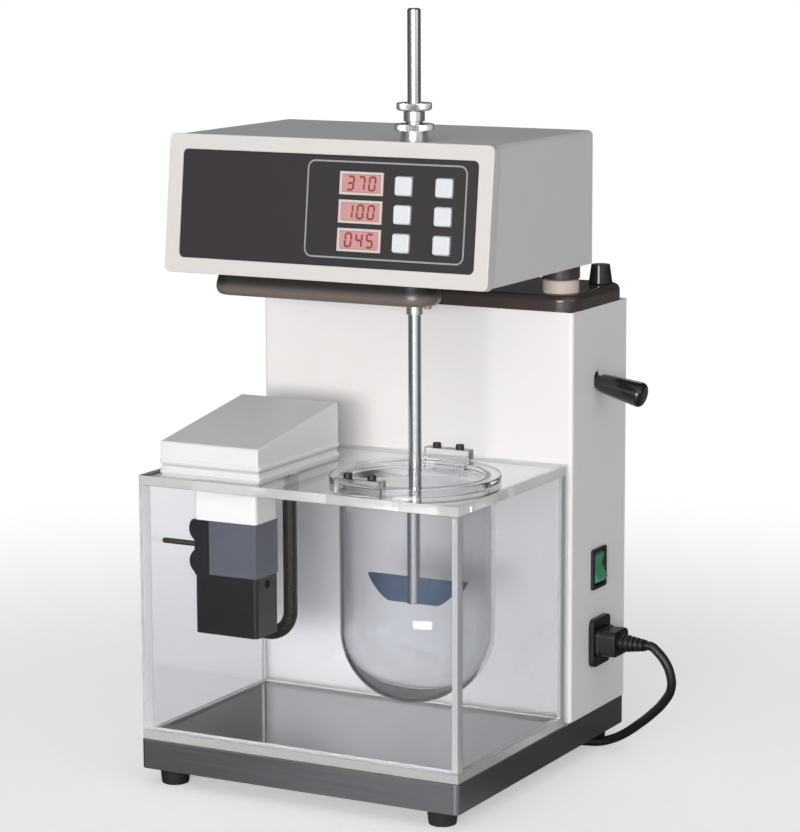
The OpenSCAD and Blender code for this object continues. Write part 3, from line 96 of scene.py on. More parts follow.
def ramp(tree, value, low, high, start=0, end=1, smooth=False):
    """A value carried over from one range into another."""
    step = tree.nodes.new("ShaderNodeMapRange")
    if smooth:
        step.interpolation_type = "SMOOTHSTEP"
    for socket, number in zip(("From Min", "From Max", "To Min", "To Max"), (low, high, start, end)):
        step.inputs[socket].default_value = number
    tree.links.new(value, step.inputs["Value"])
    return step.outputs["Result"]


def either(tree, factor, first, second):
    """The first look or the second, by a factor."""
    mix = tree.nodes.new("ShaderNodeMixShader")
    for socket, source in zip(mix.inputs, (factor, first, second)):
        tree.links.new(source, socket)
    return mix.outputs["Shader"]


direct = straight_view(sky, seen)
shine = light_math(sky, "MULTIPLY", seen.outputs["Is Glossy Ray"],
                   light_math(sky, "LESS_THAN", seen.outputs["Diffuse Depth"], 0.5))
around = sky.nodes.new("ShaderNodeTexCoord")
bright_side = (0.38, -0.9, 0.2)
tilt = sky.nodes.new("ShaderNodeVectorMath")
tilt.operation = "DOT_PRODUCT"
tilt.inputs[1].default_value = bright_side
sky.links.new(around.outputs["Generated"], tilt.inputs[0])
glow = ramp(sky, tilt.outputs["Value"], 0.05, 0.95, 0.06, 1)
fill = ramp(sky, tilt.outputs["Value"], 0, 1, 0.16, 0.74)
mirrored = sky.nodes.new("ShaderNodeMix")
sky.links.new(fill, mirrored.inputs["A"])
sky.links.new(shine, mirrored.inputs["Factor"])
sky.links.new(glow, mirrored.inputs["B"])
level = sky.nodes.new("ShaderNodeMix")
level.inputs["B"].default_value = 1.0
sky.links.new(direct, level.inputs["Factor"])
sky.links.new(mirrored.outputs["Result"], level.inputs["A"])
white = sky.nodes.new("ShaderNodeBackground")
white.inputs["Color"].default_value = (1, 1, 1, 1)
sky.links.new(level.outputs["Result"], white.inputs["Strength"])
sky.links.new(white.outputs["Background"], sky.nodes.new("ShaderNodeOutputWorld").inputs["Surface"])


def lamp(name, place, target, power, width, height):
    """A soft rectangular lamp, in metres and watts, turned towards its target."""
    soft = bpy.data.lights.new(name, "AREA")
    soft.energy = power
    soft.shape = "RECTANGLE"
    soft.size = width
    soft.size_y = height
    holder = bpy.data.objects.new(name, soft)
    holder.location = place
    holder.rotation_euler = (Vector(target) - Vector(place)).to_track_quat("-Z", "Y").to_euler()
    bpy.context.scene.collection.objects.link(holder)


lamp("main_lamp", (1.1, -4.35, 0.72), (0, 0, 0.25), 120, 2.5, 1.05)
lamp("back_lamp", (-0.8, 1.9, 1.8), (0, 0, 0.3), 4, 1.2, 0.6)
lamp("side_lamp", (2.6, -0.4, 0.65), (0, 0, 0.3), 2.6, 1.2, 0.6)

ground = bmesh.new()
bmesh.ops.create_grid(ground, x_segments=1, y_segments=1, size=12)
ground_mesh = bpy.data.meshes.new("floor")
ground.to_mesh(ground_mesh)
ground.free()
floor = bpy.data.objects.new("floor", ground_mesh)
bpy.context.scene.collection.objects.link(floor)
floor_finish = bpy.data.materials.new("floor_finish")
floor_finish.use_nodes = True
paper = floor_finish.node_tree
paper.nodes.clear()
matt = paper.nodes.new("ShaderNodeBsdfDiffuse")
path = paper.nodes.new("ShaderNodeLightPath")
matt.inputs["Color"].default_value = (0.8, 0.8, 0.8, 1)
spot = paper.nodes.new("ShaderNodeTexCoord")
way = paper.nodes.new("ShaderNodeVectorMath")
way.operation = "NORMALIZE"
paper.links.new(spot.outputs["Object"], way.inputs[0])
# Painted light: seen in reflections, the floor is a glowing emission that brightens towards the front right.
painted_glow_way = (0.47, -0.88, 0)
towards = paper.nodes.new("ShaderNodeVectorMath")
towards.operation = "DOT_PRODUCT"
towards.inputs[1].default_value = painted_glow_way
paper.links.new(way.outputs["Vector"], towards.inputs[0])
bright = ramp(paper, towards.outputs["Value"], 0.6, 0.95, 0.16, 0.95)
far = paper.nodes.new("ShaderNodeVectorMath")
far.operation = "LENGTH"
paper.links.new(spot.outputs["Object"], far.inputs[0])
# Painted shadow: that glow is dimmed near the object, where its shadow would fall.
shaded = ramp(paper, far.outputs["Value"], 0.2, 0.9, 0.45, 1)
painted_floor_in_mirrors = paper.nodes.new("ShaderNodeEmission")
paper.links.new(light_math(paper, "MULTIPLY", bright, shaded), painted_floor_in_mirrors.inputs["Strength"])
lift = paper.nodes.new("ShaderNodeEmission")
looked_at = straight_view(paper, path)
paper.links.new(light_math(paper, "MULTIPLY", looked_at, 0.42), lift.inputs["Strength"])
both = paper.nodes.new("ShaderNodeAddShader")
paper.links.new(matt.outputs["BSDF"], both.inputs[0])
paper.links.new(lift.outputs["Emission"], both.inputs[1])
shown = light_math(paper, "MULTIPLY", ramp(paper, far.outputs["Value"], 0.35, 1.1, smooth=True), looked_at)
blank = paper.nodes.new("ShaderNodeEmission")
plain = either(paper, shown, both.outputs["Shader"], blank.outputs["Emission"])
in_mirror = light_math(paper, "MULTIPLY", light_math(paper, "GREATER_THAN", path.outputs["Glossy Depth"], 0.5),
                       light_math(paper, "LESS_THAN", path.outputs["Diffuse Depth"], 0.5))
ground_look = either(paper, in_mirror, plain, painted_floor_in_mirrors.outputs["Emission"])
paper.links.new(ground_look, paper.nodes.new("ShaderNodeOutputMaterial").inputs["Surface"])
floor.data.materials.append(floor_finish)


# Mains cord
# A black rubber-sheathed lead, 7 mm thick, bowed out of its connector down to the bench, under the base
# in front of the right rear foot, and wound up in a flat double-layer coil behind the column.
def tone(red, green, blue):
    """A colour written as it should look, in steps of 255."""
    return tuple(c / 255 / 12.92 if c < 10.3 else ((c / 255 + 0.055) / 1.055) ** 2.4
                 for c in (red, green, blue)) + (1.0,)


def new_finish(name):
    """An empty finish with its shader, and the places on the piece that its marks go by."""
    finish = bpy.data.materials.new(name)
    finish.use_nodes = True
    tree = finish.node_tree
    return finish, tree, tree.nodes["Principled BSDF"], tree.nodes.new("ShaderNodeTexCoord")


def noise(tree, place, scale, detail):
    """Soft random marks over the piece."""
    marks = tree.nodes.new("ShaderNodeTexNoise")
    marks.inputs["Scale"].default_value = scale
    marks.inputs["Detail"].default_value = detail
    tree.links.new(place, marks.inputs["Vector"])
    return marks.outputs["Fac"]


def drifting(tree, colour, drift, marks):
    """A colour that grows a little darker and lighter with the marks."""
    mix = tree.nodes.new("ShaderNodeMix")
    mix.data_type = "RGBA"
    base = tone(*colour)
    mix.inputs["A"].default_value = tuple(c * (1 - drift) for c in base[:3]) + (1,)
    mix.inputs["B"].default_value = tuple(min(1, c * (1 + drift)) for c in base[:3]) + (1,)
    tree.links.new(marks, mix.inputs["Factor"])
    return mix.outputs["Result"]


def worked(tree, shader, marks, smoothest, dullest, strength, depth):
    """Let the marks change the surface's dullness, and stand on it to a depth in millimetres."""
    tree.links.new(ramp(tree, marks, 0, 1, smoothest, dullest), shader.inputs["Roughness"])
    bump = tree.nodes.new("ShaderNodeBump")
    bump.inputs["Strength"].default_value = strength
    bump.inputs["Distance"].default_value = depth / 1000
    tree.links.new(marks, bump.inputs["Height"])
    tree.links.new(bump.outputs["Normal"], shader.inputs["Normal"])


def coating(name, colour, drift=0.06, patch=30, rough=0.45, spread=0.06, grain=0.8, depth=0.02, metal=0.0,
            coat=0.0):
    """An opaque finish: its colour drifts a little over patches, and a fine grain lies on the surface."""
    finish, tree, shader, place = new_finish(name)
    shader.inputs["Metallic"].default_value = metal
    shader.inputs["Coat Weight"].default_value = coat
    shader.inputs["Coat Roughness"].default_value = 0.08
    patches = noise(tree, place.outputs["Object"], 1000 / patch, 4)
    tree.links.new(drifting(tree, colour, drift, patches), shader.inputs["Base Color"])
    grains = noise(tree, place.outputs["Object"], 1000 / grain, 3)
    worked(tree, shader, grains, max(0.02, rough - spread), rough + spread, 0.6, depth)
    return finish


cord_rubber = coating("cord_rubber", (24, 24, 26), drift=0.15, patch=12, rough=0.42, grain=0.6, depth=0.03)
cord_d = 7
cord_places = [
    (171.3, 90, 88), (175.3, 90, 88), (181, 90, 84.04), (187, 90, 77.44), (191, 90.52, 68.46),
    (191.5, 91.56, 57.02), (185, 93.51, 45.5), (174, 95.98, 33.97), (161, 98.97, 22.97), (148, 102.48, 13.46),
    (138, 104.56, 8.01), (128, 104.5, 4.6), (116, 103, 3.6), (104, 102, 3.6), (92, 102, 3.6), (80, 104, 3.6),
    (68, 110, 3.6), (61, 121, 3.6), (60, 135, 3.6), (60, 150, 3.6), (60, 175, 3.6), (60, 191, 3.6), (60, 198, 3.6)]
coil_middle = Vector((7, 205, 3.6))
coil_inside, coil_pitch, coil_crossing = 36.85, 7.6, 2.125
coil_points, points_a_turn = 103, 24
for step in range(coil_points):
    turns = step / points_a_turn
    reach = coil_inside + coil_pitch * abs(turns - coil_crossing)
    climb = coil_pitch * min(max((turns - coil_crossing) * 2 + 0.5, 0), 1)
    angle = turns * 2 * math.pi
    cord_places.append(tuple(coil_middle + Vector((reach * math.cos(angle), reach * math.sin(angle), climb))))
cord_end = (-17, 258, 11.2)
cord_places.append(cord_end)
cord_line = bpy.data.curves.new("mains_lead", "CURVE")
cord_line.dimensions = "3D"
cord_line.bevel_depth = cord_d / 2000
cord_line.bevel_resolution = 4
cord_line.resolution_u = 4
cord_line.use_fill_caps = True
spline = cord_line.splines.new("BEZIER")
spline.bezier_points.add(len(cord_places) - 1)
for knot, place in zip(spline.bezier_points, cord_places):
    knot.co = Vector(place) / 1000
    knot.handle_left_type = knot.handle_right_type = "AUTO"
cord_line.materials.append(cord_rubber)
lead = bpy.data.objects.new("mains_lead", cord_line)
bpy.context.scene.collection.objects.link(lead)
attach(lead, "stand")
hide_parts("mains_cord", "cord_coil")


# Connector
# A moulded black plastic plug in the side inlet: a D-shaped body with a shallow grip, and a ribbed
# tapering strain relief that is moulded on to the lead.
def sharp_edges(bm, least=0.6):
    """The edges whose faces meet at more than an angle in radians."""
    return [e for e in bm.edges if len(e.link_faces) == 2 and e.calc_face_angle() > least]


def ease(bm, edges, radius, segments):
    """Break edges with a small round."""
    bmesh.ops.bevel(bm, geom=edges, offset=radius, offset_type="OFFSET", affect="EDGES", segments=segments,
                    profile=0.5, material=-1, clamp_overlap=True)


def shift(bm, way):
    """Move a whole shape."""
    bmesh.ops.translate(bm, vec=way, verts=bm.verts)


def block(low, high):
    """A square-edged block between two corners."""
    low, high = Vector(low), Vector(high)
    bm = bmesh.new()
    bmesh.ops.create_cube(bm, size=1)
    bmesh.ops.scale(bm, vec=high - low, verts=bm.verts)
    shift(bm, (low + high) / 2)
    return bm


def along(bm, axis):
    """The edges that run along one axis."""
    return [e for e in bm.edges if abs((e.verts[1].co - e.verts[0].co).normalized()[axis]) > 0.99]


def turned(profile, steps=64, closed=False):
    """A piece turned about the upright axis from its half profile of radius and height."""
    bm = bmesh.new()
    points = [bm.verts.new((radius, 0, height)) for radius, height in profile]
    lines = [bm.edges.new(pair) for pair in zip(points, points[1:] + points[:1] if closed else points[1:])]
    bmesh.ops.spin(bm, geom=points + lines, cent=(0, 0, 0), axis=(0, 0, 1), angle=2 * math.pi, steps=steps,
                   use_merge=True)
    bmesh.ops.remove_doubles(bm, verts=bm.verts, dist=1e-4)
    return bm


def turn_about(bm, degrees, axis):
    """Turn a whole shape about an axis through the origin."""
    bmesh.ops.rotate(bm, cent=(0, 0, 0), matrix=Matrix.Rotation(math.radians(degrees), 3, axis), verts=bm.verts)


def joined(*parts):
    """Several shapes as one."""
    whole = bmesh.new()
    for part in parts:
        carrier = bpy.data.meshes.new("carrier")
        part.to_mesh(carrier)
        part.free()
        whole.from_mesh(carrier)
        bpy.data.meshes.remove(carrier)
    return whole


def fit(name, bm, body, finishes, nodes=(), sharp=32):
    """Make the shape a piece of the part: closed, shaded, finished, and riding on its body."""
    bmesh.ops.remove_doubles(bm, verts=bm.verts, dist=1e-4)
    bmesh.ops.recalc_face_normals(bm, faces=bm.faces)
    bmesh.ops.scale(bm, vec=(0.001, 0.001, 0.001), verts=bm.verts)
    mesh = bpy.data.meshes.new(name)
    bm.to_mesh(mesh)
    bm.free()
    mesh.polygons.foreach_set("use_smooth", [True] * len(mesh.polygons))
    mesh.set_sharp_from_angle(angle=math.radians(sharp))
    for finish in finishes if isinstance(finishes, (list, tuple)) else [finishes]:
        mesh.materials.append(finish)
    piece = bpy.data.objects.new(name, mesh)
    bpy.context.scene.collection.objects.link(piece)
    flat = piece.modifiers.new("flat_faces", "WEIGHTED_NORMAL")
    flat.keep_sharp = True
    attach(piece, body)
    if nodes:
        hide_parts(*([nodes] if isinstance(nodes, str) else nodes))
    return piece


black_moulding = coating("black_moulding", (26, 26, 28), drift=0.12, patch=14, rough=0.4, grain=0.5, depth=0.02)
grip = block((121, 76.8, 78.3), (151.3, 103.2, 97.7))
ease(grip, along(grip, 0), 4.5, 6)
ease(grip, sharp_edges(grip, 1.0), 1.4, 3)
relief_profile = [(0, 0), (7, 0)]
for rib in range(5):
    wide = 7 - 0.55 * rib
    start = 1.2 + 3.7 * rib
    relief_profile += [(wide, start), (wide - 0.1, start + 2.1), (wide - 1.3, start + 2.4),
                       (wide - 1.3, start + 3.4)]
relief_profile += [(4.4, 20), (0, 20)]
relief = turned(relief_profile, 40)
turn_about(relief, 90, "Y")
shift(relief, (151.2, 90, 88))
shoulder = block((135.3, 76, 77.5), (139.2, 104, 98.5))
ease(shoulder, along(shoulder, 0), 4.5, 6)
ease(shoulder, sharp_edges(shoulder, 1.0), 1.0, 2)
connector = fit("lead_connector", joined(grip, shoulder, relief), "stand", black_moulding,
                "mains_connector")


# Wall plug and tie
# The moulded plug at the coil's end lies on the bench, with three flat metal pins, and a woven strap
# holds the turns of the coil together.
def cad_copy(node):
    """The shape of a solid as one merged mesh in millimetres, with its flat faces joined up."""
    bm = bmesh.new()
    bm.from_mesh(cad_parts[node].data)
    bmesh.ops.remove_doubles(bm, verts=bm.verts, dist=2e-6)
    bmesh.ops.scale(bm, vec=(1000, 1000, 1000), verts=bm.verts)
    bmesh.ops.dissolve_limit(bm, angle_limit=math.radians(0.5), verts=bm.verts, edges=bm.edges)
    return bm


pin_metal = coating("pin_metal", (196, 188, 168), drift=0.08, patch=5, rough=0.28, grain=0.3, depth=0.01,
                    metal=1.0)
plug_face = -61.9
plug_body = cad_copy("wall_plug")
bmesh.ops.bisect_plane(plug_body, geom=plug_body.verts[:] + plug_body.edges[:] + plug_body.faces[:],
                       plane_co=(plug_face, 0, 0), plane_no=(-1, 0, 0), clear_outer=True)
bmesh.ops.holes_fill(plug_body, edges=[e for e in plug_body.edges if e.is_boundary])
ease(plug_body, sharp_edges(plug_body, 0.9), 1.2, 3)
plug = fit("lead_plug", plug_body, "stand", black_moulding, "wall_plug")
pins = []
for across, lean in ((-8, 25), (8, -25), (0, 90)):
    pin = block((0, -3.2, -1), (17, 3.2, 1))
    ease(pin, sharp_edges(pin), 0.5, 2)
    turn_about(pin, lean + 90, "X")
    turn_about(pin, 180, "Z")
    shift(pin, (plug_face + 1.4, cord_end[1] + across, cord_end[2]))
    pins.append(pin)
plug_pins = fit("lead_plug_pins", joined(*pins), "stand", pin_metal)
strap_weave = coating("strap_weave", (38, 38, 40), drift=0.25, patch=1.5, rough=0.8, grain=0.7, depth=0.25)
strap = block((-46.2, 199, 0.6), (-28.7, 211, 15))
bmesh.ops.delete(strap, geom=[f for f in strap.faces if abs(f.normal.y) > 0.9], context="FACES")
ease(strap, along(strap, 1), 3.5, 5)
bmesh.ops.recalc_face_normals(strap, faces=strap.faces)
bmesh.ops.solidify(strap, geom=strap.faces[:], thickness=0.55)
coil_tie = fit("lead_tie", strap, "stand", strap_weave)


# Base plate
# A thick steel plate with brushed sides, a finer ground top and lightly broken edges. Its corners are milled
# round, and everything else stands on it.
def streaked(name, colour, stretch, side_stretch=None, drift=0.12, rough=0.34, spread=0.1, depth=0.01, metal=1.0):
    """A metal finish whose fine scratches run one way; faces that look sideways may have their own way."""
    finish, tree, shader, place = new_finish(name)
    shader.inputs["Metallic"].default_value = metal

    def scratches(size):
        stretched = tree.nodes.new("ShaderNodeMapping")
        stretched.inputs["Scale"].default_value = size
        tree.links.new(place.outputs["Object"], stretched.inputs["Vector"])
        return noise(tree, stretched.outputs["Vector"], 1, 5)

    marks = scratches(stretch)
    if side_stretch:
        split = tree.nodes.new("ShaderNodeSeparateXYZ")
        tree.links.new(place.outputs["Normal"], split.inputs["Vector"])
        size = tree.nodes.new("ShaderNodeMath")
        size.operation = "ABSOLUTE"
        tree.links.new(split.outputs["X"], size.inputs[0])
        choose = tree.nodes.new("ShaderNodeMix")
        tree.links.new(size.outputs["Value"], choose.inputs["Factor"])
        tree.links.new(marks, choose.inputs["A"])
        tree.links.new(scratches(side_stretch), choose.inputs["B"])
        marks = choose.outputs["Result"]
    tree.links.new(drifting(tree, colour, drift, marks), shader.inputs["Base Color"])
    worked(tree, shader, marks, max(0.03, rough - spread), rough + spread, 0.5, depth)
    return finish


base_metal = streaked("base_metal", (132, 129, 134), (9, 900, 900), (900, 9, 900), drift=0.16, rough=0.42,
                      depth=0.02, metal=0.85)
base = block((-131, -140, 12), (131, 140, 34))
ease(base, along(base, 2), 4, 6)
ease(base, sharp_edges(base, 1.0), 0.7, 3)
ground_top = streaked("ground_top", (172, 174, 169), (9, 900, 900), drift=0.06, rough=0.36, spread=0.06,
                      depth=0.004, metal=0.85)
for face in base.faces:
    face.material_index = 1 if face.normal.z > 0.9 else 0
fit("base_slab", base, "stand", [base_metal, ground_top], "base_plate")

# Feet
# Four feet moulded in black rubber, a little wider at the top than at the sole. Each is screwed on under a
# corner of the plate.
foot_rubber = coating("foot_rubber", (30, 29, 29), drift=0.2, patch=6, rough=0.75, grain=0.6, depth=0.05)
foot_across, foot_along = 111, 125
feet = []
for side in (-1, 1):
    for end in (-1, 1):
        foot = turned([(0, 0), (8.8, 0), (9.7, 0.4), (10.1, 1.3), (10.6, 6), (11, 11.6), (10.8, 12), (0, 12)], 48)
        shift(foot, (side * foot_across, end * foot_along, 0))
        feet.append(foot)
fit("bench_feet", joined(*feet), "stand", foot_rubber, "rubber_feet")


# Column
# A folded sheet-steel shell, powder coated warm white, with cut-outs in its right side for the lever,
# the switch and the mains inlet. A flat back cover closes it, with vent slots and six screws.
def eased_copy(node, radius, segments=2, least=0.9):
    """The shape of a solid with its sharp edges broken."""
    bm = cad_copy(node)
    ease(bm, sharp_edges(bm, least), radius, segments)
    return bm


white_paint = coating("white_paint", (248, 245, 243), drift=0.012, patch=60, rough=0.36, spread=0.05, grain=1.1,
                      depth=0.012)
fit("column_sheet", eased_copy("column_shell", 0.35), "stand", white_paint, "column_shell")
fit("back_sheet", eased_copy("column_back_cover", 0.3), "stand", white_paint, "column_back_cover")

# Back cover screws
# Six zinc-plated steel screws with low round heads and a drilled drive recess. They hold the back cover to
# the column's folded edges.
zinc = coating("zinc", (190, 190, 186), drift=0.12, patch=2, rough=0.33, spread=0.1, grain=0.4, depth=0.01,
               metal=1.0)
screws = []
for side in (-1, 1):
    for height in (46, 188.5, 331):
        screw = turned([(0, 0), (1.5, 0), (1.5, 2), (3.5, 2), (3.5, 2.7), (3.1, 3.5), (2.2, 4.05), (1.3, 4.2),
                        (1.1, 3.2), (0, 3)], 24)
        turn_about(screw, -90, "X")
        shift(screw, (side * 121, 137, height))
        screws.append(screw)
fit("back_screws", joined(*screws), "stand", zinc, "cover_screws")

# Column cap
# A cover moulded in glossy dark brown plastic, with soft upright corners and a rounded rim. It sits on the
# column's top and carries the post bushes and the knob.
brown_gloss = coating("brown_gloss", (66, 55, 50), drift=0.1, patch=25, rough=0.2, spread=0.05, grain=1.5,
                      depth=0.008, coat=0.4)
fit("cap_moulding", cad_copy("column_top_cap"), "stand", brown_gloss, "column_top_cap", sharp=40)

# Post bushes
# Two flanged bushes, turned from nylon and pressed into the cap. The head's two posts run in them.
nylon = coating("nylon", (208, 194, 186), drift=0.04, patch=10, rough=0.5, grain=0.5, depth=0.015)
post_places = ((-113, 61, 0), (113, 61, 0))
bushes = []
for place in post_places:
    bush = turned([(8.03, 343), (11, 343), (11, 355.5), (13, 355.5), (13.5, 356), (13.5, 364), (13.2, 365),
                   (12.4, 365.5), (8.6, 365.5), (8.03, 364.9)], closed=True)
    shift(bush, place)
    bushes.append(bush)
fit("bush_pair", joined(*bushes), "stand", nylon, "post_bushes")


# Inside the column
# A pressed guide plate steadies the posts below, and a laminated transformer feeds the motor and heater.
# A bent bracket carries the lever's pin behind the right wall.
def dress(node, finish):
    """Give a carried-over solid its finish."""
    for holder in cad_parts[node].material_slots:
        holder.material = finish


sheet_zinc = streaked("sheet_zinc", (172, 174, 176), (60, 500, 60), rough=0.36, depth=0.008)
dress("guide_plate", sheet_zinc)
dress("lever_bracket", sheet_zinc)
dress("transformer", streaked("core_laminations", (104, 92, 82), (30, 30, 1400), drift=0.3, rough=0.5,
                              depth=0.05, metal=0.7))
dress("knob_pot", coating("pot_case", (120, 124, 130), drift=0.1, patch=4, rough=0.35, grain=0.4, depth=0.01,
                          metal=0.9))

# Lever
# A glossy black moulded grip on a steel-pinned knuckle; it leaves the column's right side and droops a little.
# A white plate with a slot closes the rest of the hole in the wall.
black_gloss = coating("black_gloss", (22, 22, 24), drift=0.15, patch=18, rough=0.2, spread=0.06, grain=1.0,
                      depth=0.01, coat=0.5)
knuckle = turned([(2.04, -6), (4, -6), (4, 6), (2.04, 6)], 40, closed=True)
turn_about(knuckle, 90, "X")
handle = turned([(0, 2.7), (4.6, 2.7), (5, 3.2), (5, 8.35), (5.4, 8.5), (6.2, 9.05), (6.7, 9.85), (6.9, 10.8),
                 (7.5, 15), (8.4, 27), (9.1, 37), (9.4, 41.3), (9.1, 43), (8.2, 44.4), (6.7, 45.2), (5, 45.5),
                 (0, 45.5)], 56)
turn_about(handle, 90, "Y")
lever = joined(knuckle, handle)
turn_about(lever, 12, "Y")
lever_pin = (125, 86.7, 287.7)
shift(lever, lever_pin)
fit("lever_grip", lever, "lever", black_gloss, "lock_lever")
hole_r, slot_r, slot_longer, plate_steps = 7.85, 5.35, 1.3, 48
slot_plate = bmesh.new()
bmesh.ops.create_circle(slot_plate, segments=plate_steps, radius=hole_r)
slot = bmesh.ops.create_circle(slot_plate, segments=plate_steps, radius=slot_r)["verts"]
turn_about(slot_plate, 180 / plate_steps, "Z")
for way in (-1, 1):
    bmesh.ops.translate(slot_plate, vec=(slot_longer * way, 0, 0), verts=[v for v in slot if v.co.x * way > 0])
bmesh.ops.bridge_loops(slot_plate, edges=slot_plate.edges[:])
bmesh.ops.solidify(slot_plate, geom=slot_plate.faces[:], thickness=1.2)
turn_about(slot_plate, 90, "Y")
plate_back = 129.7
shift(slot_plate, (plate_back - min(v.co.x for v in slot_plate.verts), *lever_pin[1:]))
fit("lever_slot_plate", slot_plate, "stand", white_paint)

# Adjuster knob
# A fluted knob, moulded in matt black plastic and pushed on to a shaft that comes up through the cap. A pale
# line on its top and down its side shows where it points.
black_matt = coating("black_matt", (27, 27, 28), drift=0.12, patch=9, rough=0.55, grain=0.5, depth=0.03)
mark_white = coating("mark_white", (222, 220, 214), drift=0.05, patch=3, rough=0.5, grain=0.3, depth=0.005)
fit("knob_cap", eased_copy("adjuster_knob", 0.25), "knob", black_matt, "adjuster_knob")
top_mark = block((-0.6, -6.9, 369.7), (0.6, -1.5, 369.95))
side_mark = block((-0.6, -0.35, 0.4), (0.6, 0.15, 13.6))
turn_about(side_mark, -math.degrees(math.atan2(2, 14)), "X")
shift(side_mark, (0, -9, 356))
pointer = joined(top_mark, side_mark)
ease(pointer, sharp_edges(pointer), 0.1, 2)
knob_at = (117, 118.4, 0)
turn_about(pointer, 25, "Z")
shift(pointer, knob_at)
fit("knob_line", pointer, "knob", mark_white)

# Mains switch
# A rocker switch, snapped into the right side: a moulded black frame, and a glossy green rocker that tips on
# its pin.
fit("switch_surround", eased_copy("switch_frame", 0.4), "stand", black_moulding, "switch_frame")
rocker_green = coating("rocker_green", (70, 156, 114), drift=0.08, patch=6, rough=0.18, spread=0.05, grain=0.8,
                       depth=0.006, coat=0.4)
fit("rocker_key", eased_copy("switch_rocker", 0.7, 3, least=0.3), "rocker", rocker_green,
    "switch_rocker")

# Mains inlet
# A socket moulded in black plastic and riveted into the right side. The lead's connector sits in its cavity.
fit("inlet_socket", eased_copy("mains_inlet", 0.5), "stand", black_moulding, "mains_inlet")


# Bath
# Six clear acrylic plates, cemented at their edges: a floor, four walls and a lid. The large faces are
# polished. The sawn edges are left matt, so they and the cement lines catch the light as pale bands.
def clear(name, tint, index, rough, scuff=0.02, passes=0.93):
    """A clear finish with faint wipe marks; each face passes most of the light on to what it shades."""
    finish, tree, shader, place = new_finish(name)
    shader.inputs["Transmission Weight"].default_value = 1
    shader.inputs["IOR"].default_value = index
    wipes = noise(tree, place.outputs["Object"], 35, 6)
    tints = tree.nodes.new("ShaderNodeMix")
    tints.data_type = "RGBA"
    tints.inputs["A"].default_value = tone(*tint)
    tints.inputs["B"].default_value = tone(*(c - 2 for c in tint))
    tree.links.new(wipes, tints.inputs["Factor"])
    tree.links.new(tints.outputs["Result"], shader.inputs["Base Color"])
    tree.links.new(ramp(tree, wipes, 0.45, 0.8, rough, rough + scuff), shader.inputs["Roughness"])
    rays = tree.nodes.new("ShaderNodeLightPath")
    open_air = tree.nodes.new("ShaderNodeBsdfTransparent")
    open_air.inputs["Color"].default_value = (passes, passes + 0.002, passes + 0.004, 1)
    surface = either(tree, rays.outputs["Is Shadow Ray"], shader.outputs["BSDF"], open_air.outputs["BSDF"])
    tree.links.new(surface, tree.nodes["Material Output"].inputs["Surface"])
    return finish


acrylic = clear("acrylic", (248, 249, 251), 1.49, 0.0)
sawn_edge = coating("sawn_edge", (252, 252, 252), drift=0.03, patch=5, rough=0.15, grain=0.6, depth=0.01)
sawn_edge.node_tree.nodes["Principled BSDF"].inputs["Transmission Weight"].default_value = 0.5


def sheet_of_acrylic(low, high, thin):
    """One plate with broken edges; the faces square to its thin way are polished."""
    bm = block(low, high)
    ease(bm, bm.edges[:], 0.35, 2)
    for face in bm.faces:
        face.material_index = 0 if abs(face.normal[thin]) > 0.9 else 1
    return bm


half_wide, front_y, back_y = 130, -138.5, 34.5
wall_foot, wall_top = 41.05, 223.9
fit("bath_floor", sheet_of_acrylic((-half_wide, front_y, 34.15), (half_wide, back_y, 40.95), 2), "stand",
    [acrylic, sawn_edge], "tank_floor")
fit("bath_walls", joined(
    sheet_of_acrylic((-half_wide, front_y, wall_foot), (half_wide, -131.55, wall_top), 1),
    sheet_of_acrylic((-half_wide, 27.55, wall_foot), (half_wide, back_y, wall_top), 1),
    sheet_of_acrylic((-half_wide, -131.45, wall_foot), (-123.05, 27.45, wall_top), 0),
    sheet_of_acrylic((123.05, -131.45, wall_foot), (half_wide, 27.45, wall_top), 0)), "stand",
    [acrylic, sawn_edge], "tank_walls")
lid = cad_copy("tank_cover")
for face in lid.faces:
    middle = face.calc_center_median()
    beyond = max(abs(middle.x) - half_wide, front_y - middle.y, middle.y - back_y)
    face.material_index = 1 if abs(face.normal.z) < 0.5 and beyond > -0.1 else 0
ease(lid, sharp_edges(lid, 0.9), 0.3, 2)
lid_edge = coating("lid_edge", (252, 252, 252), drift=0.02, patch=5, rough=0.1, grain=0.6, depth=0.005)
lid_edge.node_tree.nodes["Principled BSDF"].inputs["Transmission Weight"].default_value = 0.45
fit("bath_lid", lid, "stand", [acrylic, lid_edge], "tank_cover")
seam_foot, seam_top = 41, 42.6
cement = []
for left, right, near, rear in ((-123, -121.4, -131.4, 27.4), (121.4, 123, -131.4, 27.4),
                                (-121.5, 121.5, -131.5, -129.9), (-121.5, 121.5, 25.9, 27.5)):
    seam = block((left, near, seam_foot), (right, rear, seam_top))
    ease(seam, sharp_edges(seam), 0.5, 2)
    cement.append(seam)
fit("bath_cement", joined(*cement), "stand", sawn_edge)

# Flange stops
# Two short bars of clear acrylic, one before and one behind the vessel's flange. Two dark screws hold each of
# them to the lid.
stops = []
stop_heads = []
stop_deep = 9.5
for near in (-137, -2.5):
    stop = block((31, near, 231.05), (69, near + stop_deep, 243))
    ease(stop, along(stop, 2), 2, 4)
    ease(stop, sharp_edges(stop, 1.0), 0.4, 2)
    stops.append(stop)
    for across in (40.5, 59.5):
        head = turned([(0, 242.9), (3.0, 242.9), (3.25, 243.2), (3.25, 245.6), (2.9, 246.4), (1.7, 246.5),
                       (1.5, 245), (0, 245)], 28)
        shift(head, (across, near + stop_deep / 2, 0))
        stop_heads.append(head)
fit("stop_bars", joined(*stops), "stand", acrylic, "flange_stops")
fit("stop_screw_heads", joined(*stop_heads), "stand", black_moulding, "stop_screws")

